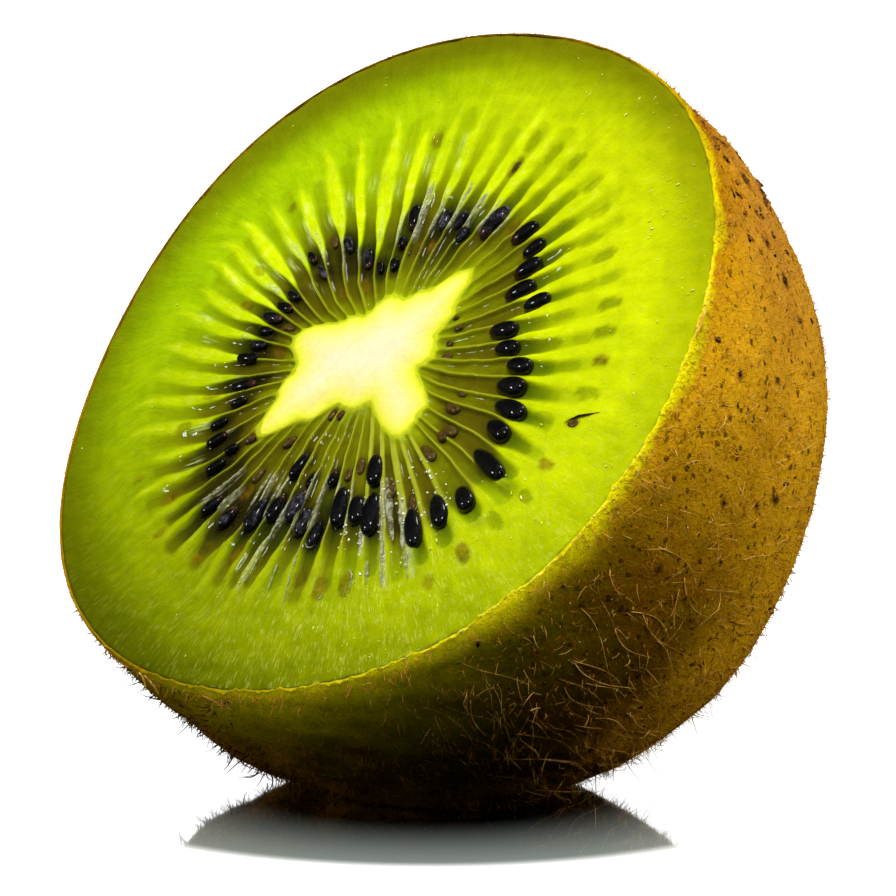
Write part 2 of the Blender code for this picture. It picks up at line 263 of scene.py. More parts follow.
def tubes(paths, radii, sides=3, flat=1.0, up=None):
    # a ring of corners stands square to each path at each of its points: p + r (u cos t + flat v sin t)
    count, steps = paths.shape[:2]
    along = np.gradient(paths, axis=1)
    along /= np.linalg.norm(along, axis=-1)[..., None] + 1e-9
    helper = np.where(np.abs(along[..., 2:]) < 0.9, [0.0, 0.0, 1.0], [1.0, 0.0, 0.0]) if up is None else up
    u = unit(np.cross(along, helper))
    v = np.cross(along, u)
    turn = 2 * math.pi * np.arange(sides) / sides
    ring = u[:, :, None] * np.cos(turn)[:, None] + flat * v[:, :, None] * np.sin(turn)[:, None]
    points = paths[:, :, None] + radii[:, :, None, None] * ring
    index = np.arange(count * steps * sides).reshape(count, steps, sides)
    return points.reshape(-1, 3), [ringFaces(index), index[:, 0, ::-1], index[:, -1]]


def eggShape(rings, sides):
    # an egg one unit long and two wide, its narrow end at -x: half width = sin(t)^0.85 (1 + 0.28 x)
    turn = math.pi * (np.arange(rings) + 0.5) / rings
    around = 2 * math.pi * np.arange(sides) / sides
    along = -0.5 * np.sign(np.cos(turn)) * np.abs(np.cos(turn)) ** 0.9
    wide = np.sin(turn) ** 0.85 * (1 + 0.28 * along)
    upright = polar(around, wide[:, None], along[:, None]).reshape(-1, 3)
    return np.concatenate([np.roll(upright, 1, -1), [[-0.5, 0, 0], [0.5, 0, 0]]])


def eggs(rings, sides, centres, axes):
    # copies of the egg: centre + x a + y b + z c, with the three axes of each copy
    shape = eggShape(rings, sides)
    points = centres[:, None] + np.einsum("pk,nkd->npd", shape, axes)
    shift = len(shape) * np.arange(len(centres))[:, None, None]
    faces = [(part[None] + shift).reshape(-1, part.shape[1]) for part in ballFaces(rings, sides)]
    return points.reshape(-1, 3), faces


def flatAxes(turn, long, wide, high):  # axes of eggs on the cut: long at a turn, wide across it, high up
    across = polar(turn, wide)[:, [1, 0, 2]] * [-1, 1, 1]
    return np.stack([polar(turn, long), across, polar(0.0, 0.0, high)], 1)


def joined(parts):  # several meshes as one list of points and faces
    points, faces, start = [], [], 0
    for some, corners in parts:
        points.append(some)
        faces += [part + start for part in corners]
        start += len(some)
    return np.concatenate(points), faces


def tint(red, green, blue):  # a colour as seen on screen, 0 to 255, made linear
    seen = [value / 255 for value in (red, green, blue)]
    return tuple(v / 12.92 if v <= 0.04 else ((v + 0.055) / 1.055) ** 2.4 for v in seen) + (1.0,)


class Wire:
    # one output of a node, which takes part in sums
    def __init__(self, look, socket):
        self.look, self.socket = look, socket

    def maths(self, operation, *values, clamp=False):
        settings = {"operation": operation, "use_clamp": clamp}
        return self.look.node("ShaderNodeMath", settings, dict(enumerate(values)))

    def __add__(self, other):
        return self.maths("ADD", self, other)

    def __mul__(self, other):
        return self.maths("MULTIPLY", self, other)

    def __sub__(self, other):
        return self.maths("SUBTRACT", self, other)

    def __rsub__(self, other):
        return self.maths("SUBTRACT", other, self)

    __radd__, __rmul__ = __add__, __mul__

    def unsigned(self):
        return self.maths("ABSOLUTE", self)

    def held(self):  # between 0 and 1
        return self.maths("ADD", self, 0.0, clamp=True)

    def step(self, low, high):  # 0 below low, 1 above high, smooth between
        settings = {"interpolation_type": "SMOOTHSTEP"}
        return self.look.node("ShaderNodeMapRange", settings, {0: self, 1: low, 2: high})


class Look:
    # a material, its nodes and the shader at their end
    def __init__(self, name, **constants):
        self.material = bpy.data.materials.new(name)
        self.material.use_nodes = True
        self.tree = self.material.node_tree
        self.shader = self.tree.nodes["Principled BSDF"]
        self.finish(**constants)

    def feed(self, socket, value):
        if isinstance(value, Wire):
            self.tree.links.new(value.socket, socket)
        else:
            socket.default_value = value

    def node(self, kind, settings=None, sockets=None, output=0):
        made = self.tree.nodes.new(kind)
        for key, value in (settings or {}).items():
            setattr(made, key, value)
        for key, value in (sockets or {}).items():
            self.feed(made.inputs[key], value)
        return Wire(self, made.outputs[output])

    def finish(self, **sockets):
        for title, value in sockets.items():
            self.feed(self.shader.inputs[title.replace("_", " ")], value)
        return self

    def mix(self, share, first, second):  # the node holds the share between 0 and 1
        return self.node("ShaderNodeMix", {"data_type": "RGBA"}, {0: share, 6: first, 7: second}, 2)

    def layers(self, colour, *rows):  # each row's colour goes over those before it by its share
        for share, over in rows:
            colour = self.mix(share, colour, over)
        return colour

    def scaled(self, colour, amount):  # a colour times a number
        colour = colour if isinstance(colour, Wire) else colour[:3]
        return self.node("ShaderNodeVectorMath", {"operation": "SCALE"}, {0: colour, "Scale": amount})

    def field(self, title, output="Fac"):
        return self.node("ShaderNodeAttribute", {"attribute_name": title}, output=output)

    def place(self, scale=1000.0):  # where a point is, in mm
        where = self.node("ShaderNodeTexCoord", output="Object")
        return self.node("ShaderNodeMapping", None, {"Vector": where, "Scale": (scale, scale, scale)})

    def noise(self, where, scale, detail=2.0, rough=0.5, output=0):
        sockets = {"Vector": where, "Scale": scale, "Detail": detail, "Roughness": rough}
        return self.node("ShaderNodeTexNoise", None, sockets, output)

    def warped(self, where, scale, amount):  # the place, pushed about by a noise, so that dots grow ragged
        push = self.scaled(self.noise(where, scale, output=1), amount)
        return self.node("ShaderNodeVectorMath", {"operation": "ADD"}, {0: where, 1: push})

    def cells(self, where, scale, output="Distance"):
        return self.node("ShaderNodeTexVoronoi", None, {"Vector": where, "Scale": scale}, output)

    def spots(self, where, scale, size, share):  # dots of uneven size in some of the cells
        chance = self.node("ShaderNodeSeparateColor", None, {0: self.cells(where, scale, "Color")})
        picked = chance.step(1.0 - share, 1.0 - share + 0.02)
        reach = size * scale * (0.45 + 0.75 * chance)
        return (reach - self.cells(where, scale)).step(0.0, size * scale * 0.45) * picked

    def bump(self, height, distance):  # distance in mm
        return self.node("ShaderNodeBump", None, {"Height": height, "Distance": distance * 0.001})


def plainLook(name, noise, edges, dark, light, rough, **constants):
    # two colours and an uneven roughness, all by one noise
    look = Look(name, **constants)
    grain = look.noise(look.place(), *noise)
    colour = look.mix(grain.step(*edges), tint(*dark), tint(*light))
    return look.finish(Base_Color=colour, Roughness=rough + 0.2 * grain), grain


# the flesh at the cut
cutFlesh = {
    "columns": (-0.5, -0.47, -0.43, -0.36, -0.26, -0.13, 0.0, 0.13, 0.26, 0.36, 0.43, 0.47),
    "rowsInside": 96, "rowsOutside": 26, "insideTo": 21.4, "skinThickness": 0.30, "skinLap": 0.05,
    "gelSink": 0.26, "wallHeight": -0.06, "ripples": ((0.04, 1.6, 8), (0.03, 4.0, 9)),
    # under the cut: depths of the rows inside the skin and shares of the way down the core's pocket
    "depths": (0.8, 3.0, 7.0, 12.0, 18.0, 24.0, 29.0, 32.5, 34.6), "pocketShares": (0.02, 0.3, 0.65, 1.0),
    "pocketGap": 0.35, "pocketDrop": 0.8,
    "wallHalf": 0.03,
    "thickWalls": ((-51.3, 0.22), (-57.6, 0.15), (-46.3, 0.12), (-40.6, 0.12), (-63.6, 0.10)),
    "rayHalf": 0.50, "rayWidest": 16.5, "rayEnd": 20.6, "rayStray": 1.3,
    "fingerHalf": 0.66, "fingerEnd": 19.6, "fingerStray": 0.9,
    # every 30 degrees round the cut, from 0: how the chambers look inside and beyond the ring of seeds
    "innerMurk": (0.60, 0.54, 0.58, 0.72, 0.70, 0.60, 0.60, 0.60, 0.62, 0.56, 0.56, 0.60),
    "fingerMurk": (0.60, 0.60, 0.70, 0.84, 0.92, 0.94, 0.94, 0.96, 0.98, 0.84, 0.58, 0.52),
    "fingerShare": (0.92, 0.90, 0.90, 0.92, 0.95, 0.96, 0.96, 0.96, 0.96, 0.90, 0.76, 0.76),
    "rayShine": (0.10, 0.16, 0.45, 0.85, 0.95, 0.95, 0.90, 0.65, 0.45, 0.34, 0.15, 0.08),
    "wallShine": (0.20, 0.14, 0.20, 0.35, 0.30, 0.25, 0.25, 0.30, 0.40, 0.55, 0.80, 0.45),
    # how dark the painted shade round the seeds is
    "seedShadeStrength": (0.15, 0.15, 0.45, 0.80, 0.75, 0.70, 0.65, 0.80, 1.0, 1.0, 0.60, 0.25),
    "streaky": (0.30, 0.35, 0.50, 0.70, 0.80, 0.80, 0.80, 1.0, 1.2, 1.25, 0.90, 0.45),
    # pale membranes along the walls: way at the ring, from and to which radius, strength, half width in mm
    "membranes": (
        (118.3, 9.8, 12.5, 0.8, 0.16), (109.6, 9.0, 12.6, 0.8, 0.18), (101.8, 9.0, 14.2, 1.0, 0.30),
        (94.6, 9.5, 13.8, 0.9, 0.20), (86.7, 10.0, 14.2, 0.9, 0.22), (79.0, 10.2, 13.8, 1.0, 0.24),
        (72.5, 10.6, 13.8, 0.9, 0.20), (64.5, 10.8, 13.5, 0.6, 0.14), (57.4, 12.0, 13.2, 0.6, 0.12),
        (127.0, 8.5, 11.0, 0.4, 0.14), (134.2, 9.0, 13.0, 0.4, 0.16), (142.2, 11.0, 15.0, 0.5, 0.2),
        (149.2, 12.5, 15.5, 0.5, 0.22), (161.8, 12.0, 14.6, 0.7, 0.22), (179.2, 12.3, 13.4, 0.8, 0.25),
        (-172.6, 12.4, 13.2, 0.6, 0.2), (-165.3, 11.5, 12.6, 0.5, 0.2), (-143.2, 11.6, 13.4, 0.5, 0.2),
        (-82.8, 9.3, 14.2, 0.7, 0.20), (-89.3, 9.0, 14.2, 0.6, 0.16), (-95.5, 11.5, 19.3, 0.8, 0.22),
        (-101.0, 10.0, 14.2, 0.7, 0.20), (-107.5, 10.4, 14.4, 0.8, 0.24), (-118.4, 12.6, 15.4, 0.8, 0.26),
        (-124.4, 11.8, 16.2, 0.8, 0.26), (-76.3, 10.0, 13.8, 0.6, 0.16), (-70.1, 10.0, 14.8, 0.6, 0.16),
        (-63.6, 12.0, 17.2, 0.8, 0.22), (-57.6, 11.0, 20.5, 0.7, 0.22), (-51.3, 13.0, 20.8, 0.6, 0.26),
    ),
    # pale olive ghosts of deeper seeds: way, radius, length, strength
    "ghosts": (
        (36.8, 17.1, 1.9, 0.7), (30.7, 18.0, 2.0, 0.8), (24, 18.4, 1.6, 0.5), (23.5, 16.9, 1.6, 0.5),
        (17.2, 18.8, 2.0, 1.0), (17, 15.2, 1.8, 0.5), (10.6, 18.9, 1.9, 1.0), (9.2, 17.2, 1.5, 0.6),
        (8.6, 14.8, 1.6, 0.9), (2.3, 17.1, 1.9, 0.7), (-3.4, 19.7, 2.2, 0.9), (-6, 16.7, 1.8, 0.5),
        (-11, 17.4, 1.9, 0.6), (-19, 17.1, 2.4, 0.8), (-26, 20.9, 1.4, 0.9), (-33, 20.6, 2.0, 0.8),
        (76.4, 18.2, 1.8, 0.6), (68.6, 18.1, 1.9, 0.7), (68.3, 15.0, 1.5, 0.6), (61, 18.7, 1.7, 0.8),
        (60.8, 16.5, 1.5, 0.5), (61, 15.2, 1.2, 0.5), (51.7, 18.6, 1.8, 0.7), (53.5, 16.6, 1.6, 0.6),
        (43.3, 18.3, 1.8, 0.6), (46, 15.6, 1.6, 0.7), (31, 14.8, 1.6, 0.5), (38.5, 15.0, 1.5, 0.4),
        (-28, 18.9, 1.3, 0.4), (2, 15.3, 1.3, 0.4),
    ),
    # brown seeds deep in the flesh
    "browns": (
        (3.9, 19.5, 1.3, 1.0), (-9.9, 20.0, 1.2, 0.8), (-19.2, 20.3, 1.5, 0.9), (-41, 21.1, 2.0, 0.9),
        (-48.8, 21.6, 1.4, 0.6), (170, 14.6, 1.3, 0.7), (173, 9.6, 1.5, 0.7), (-176, 9.3, 1.4, 0.7),
        (144.2, 18.4, 1.0, 0.7), (138, 12.6, 1.5, 0.9), (143.5, 7.6, 1.3, 0.6), (130, 6.8, 1.2, 0.6),
        (-135, 10.8, 1.5, 0.8), (-143, 20.0, 1.0, 0.5), (-133, 17.9, 1.5, 0.8), (-126, 19.5, 1.2, 0.7),
        (104.5, 17.8, 1.5, 0.8), (90.5, 8.8, 1.6, 0.9), (75.9, 16.0, 1.8, 0.8), (60.5, 12.4, 1.3, 0.8),
        (-73.6, 18.7, 2.2, 0.8), (-67, 18.8, 2.2, 0.8), (-80, 17.6, 1.8, 0.7), (-102, 16.8, 2.0, 0.6),
        (-112, 18.0, 2.0, 0.7), (-116, 13.0, 1.4, 0.8), (98, 8.6, 1.4, 0.8), (160, 15.8, 1.4, 0.5),
        (-160, 14.0, 1.6, 0.6), (-152, 16.2, 1.5, 0.6),
    ),
    # milky drops: way, radius
    "milks": (
        (157.5, 14.0), (152.5, 13.6), (149.8, 15.2), (143.5, 15.5), (141, 16.8), (144, 14.3), (153, 9.9),
        (176.3, 17.8), (181.5, 16.3), (158, 16.5), (130, 15.3), (122, 15.5), (112.5, 16.8), (114, 14.5),
        (105.5, 15.7), (96.5, 17.2), (94.8, 15.8), (165, 17.0), (137, 14.6), (-150, 14.8), (-140, 15.6),
    ),
}

# seeds by their way round in degrees, radius and length in mm
seedPlan = {
    # with a painted sheen, from 0 to 1: a painted reflection that lies grey over some
    "black": (
        (39, 12.2, 2.3, 0), (31.4, 11.4, 2.5, 0), (23.9, 12.8, 2.15, 0), (15.7, 10.4, 2.4, 0),
        (7.6, 11.2, 2.05, 0), (1.2, 12.9, 2.25, 0), (-5.8, 13.1, 2.6, 0), (-12.3, 14.25, 3.0, 0),
        (-18.7, 14.5, 2.45, 0), (-26.7, 16.15, 3.8, 0), (-35.8, 17.0, 2.3, 0), (-42.5, 16.4, 2.9, 0),
        (-49.7, 16.5, 3.3, 0), (-60.5, 10.1, 2.6, 0), (-61.5, 13.7, 3.4, 0), (-66.8, 12.9, 2.4, 0),
        (-73.3, 12.4, 3.2, 0), (-79.8, 14.3, 1.9, 0.2), (-80.3, 10.0, 1.2, 0), (-86, 13.4, 2.2, 0.4),
        (-91.8, 12.2, 2.5, 0.6), (-91.5, 10.2, 1.1, 0), (-99.3, 12.8, 2.1, 0), (-101.6, 9.5, 2.0, 0),
        (-105.2, 13.8, 2.6, 0.5), (-113.4, 15.1, 1.9, 0.6), (-121.5, 15.4, 1.9, 0), (-133, 13.9, 1.7, 0),
        (-135.5, 12.4, 1.1, 0), (-142.7, 13.4, 1.8, 0), (-148.7, 13.2, 1.5, 0), (-154.4, 11.6, 1.4, 0),
        (-160.8, 11.4, 2.2, 0), (-172.3, 11.8, 1.9, 0), (-177.8, 11.4, 1.6, 0.2), (176.2, 11.5, 1.4, 0),
        (170.8, 11.5, 2.0, 0.2), (165.5, 11.1, 1.7, 0), (160.3, 11.1, 1.4, 0), (146.6, 10.6, 1.5, 0.8),
        (146.7, 12.6, 1.3, 0), (133.3, 11.3, 1.6, 0.6), (126, 9.0, 1.8, 0.6), (119.3, 7.6, 1.1, 0),
        (110.7, 7.5, 1.1, 0), (108.2, 9.2, 1.1, 0), (105.5, 11.3, 2.1, 0), (90.5, 10.9, 1.7, 0.9),
        (83.3, 11.1, 1.5, 0.3), (78, 10.1, 1.3, 0.8), (68, 11.9, 2.9, 0.5), (53.7, 12.9, 2.3, 0),
        (45.8, 13.0, 1.9, 0),
    ),
    # small brown ones, flat in their chambers
    "young": (
        (34.7, 6.1, 0.9), (24.3, 6.45, 0.7), (13.3, 5.95, 0.6), (3.3, 6.1, 0.9), (-13.8, 9.3, 0.9),
        (-21, 9.5, 1.4), (-28, 10.8, 1.5), (-31.5, 10.7, 1.0), (-38.7, 11.1, 1.9), (-98, 5.0, 1.1),
        (-106, 5.2, 1.0), (-85, 5.5, 0.9), (-68.7, 9.2, 1.4), (-73.9, 9.7, 1.0), (-117.3, 11.6, 1.3),
        (-118, 8.5, 1.3), (-55, 12.3, 1.6), (-48.8, 14.3, 1.4), (104.5, 8.5, 1.1), (172.6, 9.6, 1.1),
        (-135, 10.8, 1.2), (138, 12.6, 1.2), (75.9, 16.0, 1.1), (-10.2, 20.0, 1.0),
    ),
    # shape of each kind: rings and sides, half width as a share of the length with least and most,
    # height over half width, lift, and how far a seed strays from pointing at the middle, in radians
    "blackShape": (14, 20, (0.28, 0.38, 0.68), 0.7, -0.10, 0.12),
    "youngShape": (10, 14, (0.33, 0.22, 0.42), 0.6, -0.22, 0.35),
}


def fleshFields(radius, angle, chamber, across, wall):
    plan = cutFlesh
    draw = np.random.default_rng(21)
    count = len(walls)
    fingerEnds = plan["fingerEnd"] + plan["fingerStray"] * draw.uniform(-1, 1, count)
    murks = draw.uniform(0.8, 1.2, count)
    rayEnds = plan["rayEnd"] + plan["rayStray"] * draw.uniform(-1, 1, count)
    shines = draw.uniform(0.55, 1.15, count)
    rayWides = plan["rayHalf"] * draw.uniform(0.7, 1.2, count)
    wallHalves = np.full(count, plan["wallHalf"])
    for way, half in plan["thickWalls"]:
        wallHalves[nearestWall(way)] = half
    rim, core, ring = cutRadius(angle), coreRadius(angle), roundCut(fruit["seedRing"], angle)
    beyond, offCore = radius - ring, radius - core
    width = np.radians(wallGaps)[chamber] * radius
    offMiddle, offWall = np.abs(across) * width, (0.5 - np.abs(across)) * width

    # beyond the ring each wall grows into a slender ray, and the room between two rays is a finger
    wallHalf = wallHalves[wall] * (1.0 - smooth((beyond - 1.0) / 2.0))
    taper = np.clip((rayEnds[wall] - radius) / (rayEnds[wall] - plan["rayWidest"]), 0.0, 1.0) ** 0.6
    rayHalf = np.minimum(rayWides[wall], 0.30 * width) * smooth((beyond + 0.8) / 5.0) * taper
    half = 0.5 * width - wallHalf - rayHalf
    half = half + (np.minimum(half, plan["fingerHalf"]) - half) * smooth(beyond / 3.0)
    top, foot = fingerEnds[chamber] - half, core + half
    over = np.maximum(0.0, np.maximum(radius - top, foot - radius))
    soft = 0.10 + 0.24 * smooth((radius - 13.5) / 5.0)
    ray = smooth((rayHalf * 1.05 + wallHalf - offWall + soft) / (2 * soft)) * smooth((beyond + 0.6) / 2.0)
    ray = ray * smooth((rayEnds[wall] + 0.6 - radius) / 2.2)
    ray = ray * roundCut(plan["rayShine"], angle, True) * shines[wall]

    inner = roundCut(plan["innerMurk"], angle, True) - 0.34 * smooth((2.6 - offCore) / 2.6)
    seedShade = roundCut(plan["seedShadeStrength"], angle, True)
    # painted shade: the gel darkens near the ring of seeds, more where the seeds' shade is strong
    inner = inner + (0.08 + 0.46 * seedShade ** 2) * np.exp(-((beyond + 1.3) / 2.5) ** 2)
    outer = roundCut(plan["fingerMurk"], angle, True) * (0.42 + 0.70 * np.exp(-np.maximum(beyond, 0) / 4.5))
    blend = smooth((beyond + 0.4) / 1.2)
    fade = 1 - 0.72 * smooth((beyond - 0.5) / 6.5)
    share = 0.97 + (roundCut(plan["fingerShare"], angle, True) * fade - 0.97) * blend

    # painted light and shade on the flesh: broad light where the lamps fall, darkening to the rim; and its
    # warmth
    light = swing(angle, 0.456, (0.153, 1, 56), (0.064, 2, -8))
    atRim = swing(angle, 0.497, (0.19, 1, -18), (0.178, 2, -12.6))
    olive = np.clip(swing(angle, 0.5, (0.55, 1, 115)), 0, 1) * smooth((radius - 22.4) / 4.0)

    # thin pale lines on the walls, and broader membranes along some of them
    thin = smooth((wallHalves[wall] + 0.06 - offWall) / 0.09)
    line = thin * (1 - blend) * roundCut(plan["wallShine"], angle, True) * smooth(offCore)
    thick = thin * (wallHalves[wall] > 0.09) * smooth((14.0 - radius) / 3.0) * smooth(offCore)
    pale = np.zeros(radius.shape)
    for way, low, high, strength, wide in plan["membranes"]:
        here = wall == nearestWall(way)
        off, deep = offWall[:, here], radius[:, here]
        part = strength * smooth((wide - off) / 0.14 + 0.2) * smooth((deep - low) / 0.9)
        pale[:, here] = np.maximum(pale[:, here], part * smooth((high - deep) / 0.9))
    return {
        "inGel": half - np.hypot(offMiddle, over),
        "murk": (inner + (outer - inner) * blend) * murks[chamber],
        "gelShare": share,
        "ray": ray,
        "light": light * (1.0 - (1.0 - atRim) * smooth((radius - 20.8) / 5.8)),
        "warm": np.clip(swing(angle, 0.50, (0.305, 1, -12), (0.12, 2, 55)), 0, 1),
        "olive": olive + 0.7 * near(angle, 130, 75) * smooth((radius - rim + 1.1) / 0.9),
        "glow": np.exp(-np.maximum(offCore, 0.0) / 0.10),
        "lime": near(angle, 88, 42) * np.exp(-np.maximum(offCore, 0.0) / 1.6),
        "pale": pale,
        "line": np.maximum(line, thick),
        "inRing": (1 - blend) * smooth(offCore / 0.5),
        "reach": radius,
        "low": near(angle, -66, 44),
        "streaky": roundCut(plan["streaky"], angle, True),
    }


def spotField(radius, angle, spots):
    # the greatest of many soft ovals; each is its way, radius, half length, half width, strength and edge
    x, y = radius * np.cos(angle), radius * np.sin(angle)
    total = np.zeros(radius.shape)
    for way, at, half, wide, strength, edge in spots:
        turn = math.radians(way)
        u = (x * math.cos(turn) + y * math.sin(turn) - at) / half
        v = (-x * math.sin(turn) + y * math.cos(turn)) / wide
        total = np.maximum(total, strength * smooth((1.0 + edge - np.hypot(u, v)) / (2 * edge)))
    return total


def seedSpots():
    # dark painted shade round the seeds, green painted shade behind them, ghosts of deeper ones and milky
    # drops
    shades, seedShadeSpots = [], []
    for way, at, length, _ in seedPlan["black"]:
        turn = math.radians(way)
        right = 0.5 + 0.5 * math.cos(turn - 0.2)
        shades.append((way, at + 0.5 * length + 0.4, 1.6, 0.55, 0.8 * right, 0.7))
        depth = float(roundCut(cutFlesh["seedShadeStrength"], np.array(turn), True))
        seedShadeSpots.append((way, at, 0.5 * length + 0.55, 0.28 * length + 0.35, depth, 0.4))
    for way, at, length in seedPlan["young"]:
        seedShadeSpots.append((way, at, 0.5 * length + 0.25, 0.3 * length + 0.15, 0.35, 0.4))
    ghosts = [(way, at, 0.52 * long, 0.46, much, 0.14) for way, at, long, much in cutFlesh["ghosts"]]
    browns = [
        (way, at, 0.5 * long, 0.2 + 0.16 * long, much, 0.22) for way, at, long, much in cutFlesh["browns"]
    ]
    milks = [(way, at, 0.75, 0.26, 1.0, 0.7) for way, at in cutFlesh["milks"]]
    return {"shade": shades, "seedShade": seedShadeSpots, "ghost": ghosts, "brown": browns, "milk": milks}


def gelSink(angle, radius, inside):  # how low the gel lies: softly down from a chamber's edge, less outwards
    behind = smooth((radius - roundCut(fruit["seedRing"], angle) - 1.5) / 3.0)
    return cutFlesh["gelSink"] * smooth(inside / 0.3) * (1.0 - 0.75 * behind)


def coreStem(angle, outline, share, drop=0.0):
    # the core's section narrows from its outline at the cut to a small circle as share squared, and leans
    star = outline * (1 - share) + fruit["coreRound"] * share
    wide = star * (1 - (1 - fruit["coreEndShare"]) * share ** 2)
    depth = share * fruit["coreDepth"] + drop
    return polar(angle, wide, -depth) + leanAt(depth)


def makeFlesh():
    plan = cutFlesh
    steps = np.array(plan["columns"])
    base = np.radians((walls[:, None] + (steps + 0.5) * wallGaps[:, None]).ravel())
    sides = len(base)
    chamber, across = np.repeat(np.arange(len(walls)), len(steps)), np.tile(steps, len(walls))
    wall = (chamber + (across > 0)) % len(walls)
    inmost = np.full(sides, 7.0)
    for _ in range(6):
        inmost = coreRadius(leaned(base, inmost)) - plan["pocketGap"]
    edge = cutRadius(base) - plan["skinThickness"] + plan["skinLap"]
    shares = np.linspace(0, 1, plan["rowsInside"])[:, None]
    inside = inmost + (plan["insideTo"] - inmost) * shares
    shares = np.linspace(0, 1, plan["rowsOutside"] + 1)[1:, None]
    radius = np.concatenate([inside, plan["insideTo"] + (edge - plan["insideTo"]) * shares])
    angle = leaned(base, radius)
    fields = fleshFields(radius, angle, chamber, across, wall)
    for title, spots in seedSpots().items():
        fields[title] = spotField(radius, angle, spots)

    # the gel lies low in its chambers, and the rest is a little uneven
    flat = polar(angle, radius)
    height = ripples(flat, *plan["ripples"]) + plan["wallHeight"] - gelSink(angle, radius, fields["inGel"])
    height = height + 0.04 * fields["ray"] - 0.06 * smooth((radius - edge + 0.25) / 0.25)
    flat[..., 2] = height + (-0.05 - height) * smooth((coreRadius(angle) + 0.25 - radius) / 0.3)

    # down inside the skin to the far end, and down the pocket of the core
    sunk = plan["skinThickness"] + plan["skinLap"]
    under = np.stack([skinSurface(base, depth, sunk) for depth in plan["depths"]])
    pocket = [coreStem(angle[0], inmost, share, plan["pocketDrop"]) for share in plan["pocketShares"]]
    rings = np.concatenate([under[::-1], flat[::-1], pocket])
    farHeight = skinSurface(0.0, fruit["bodyDepth"], 0.5)[2]
    poles = [
        leanAt(fruit["bodyDepth"]) + [0, 0, farHeight],
        leanAt(fruit["coreDepth"]) + [0, 0, -fruit["coreDepth"] - 0.9],
    ]
    points = np.concatenate([rings.reshape(-1, 3), poles])

    def spread(values, hiddenValue):  # a field of the cut, with one value for all that lies under it
        below = np.full((len(under), sides), hiddenValue)
        hidden = np.full((len(pocket), sides), hiddenValue)
        return np.append(np.concatenate([below, values[::-1], hidden]).ravel(), [hiddenValue, hiddenValue])

    hiddenValues = {"inGel": -1.0, "light": 0.5, "warm": 0.5, "reach": 24.0}
    values = {title: spread(field, hiddenValues.get(title, 0.0)) for title, field in fields.items()}
    fibre = polar(base, 20.0, 0.15 * radius)
    values["fibre"] = np.stack([spread(fibre[..., axis], 0.0) for axis in range(3)], -1)
    faces = ballFaces(len(rings), sides, flip=True)
    makePiece("fleshCut", fleshLook(), points, faces, values, ("flesh",))


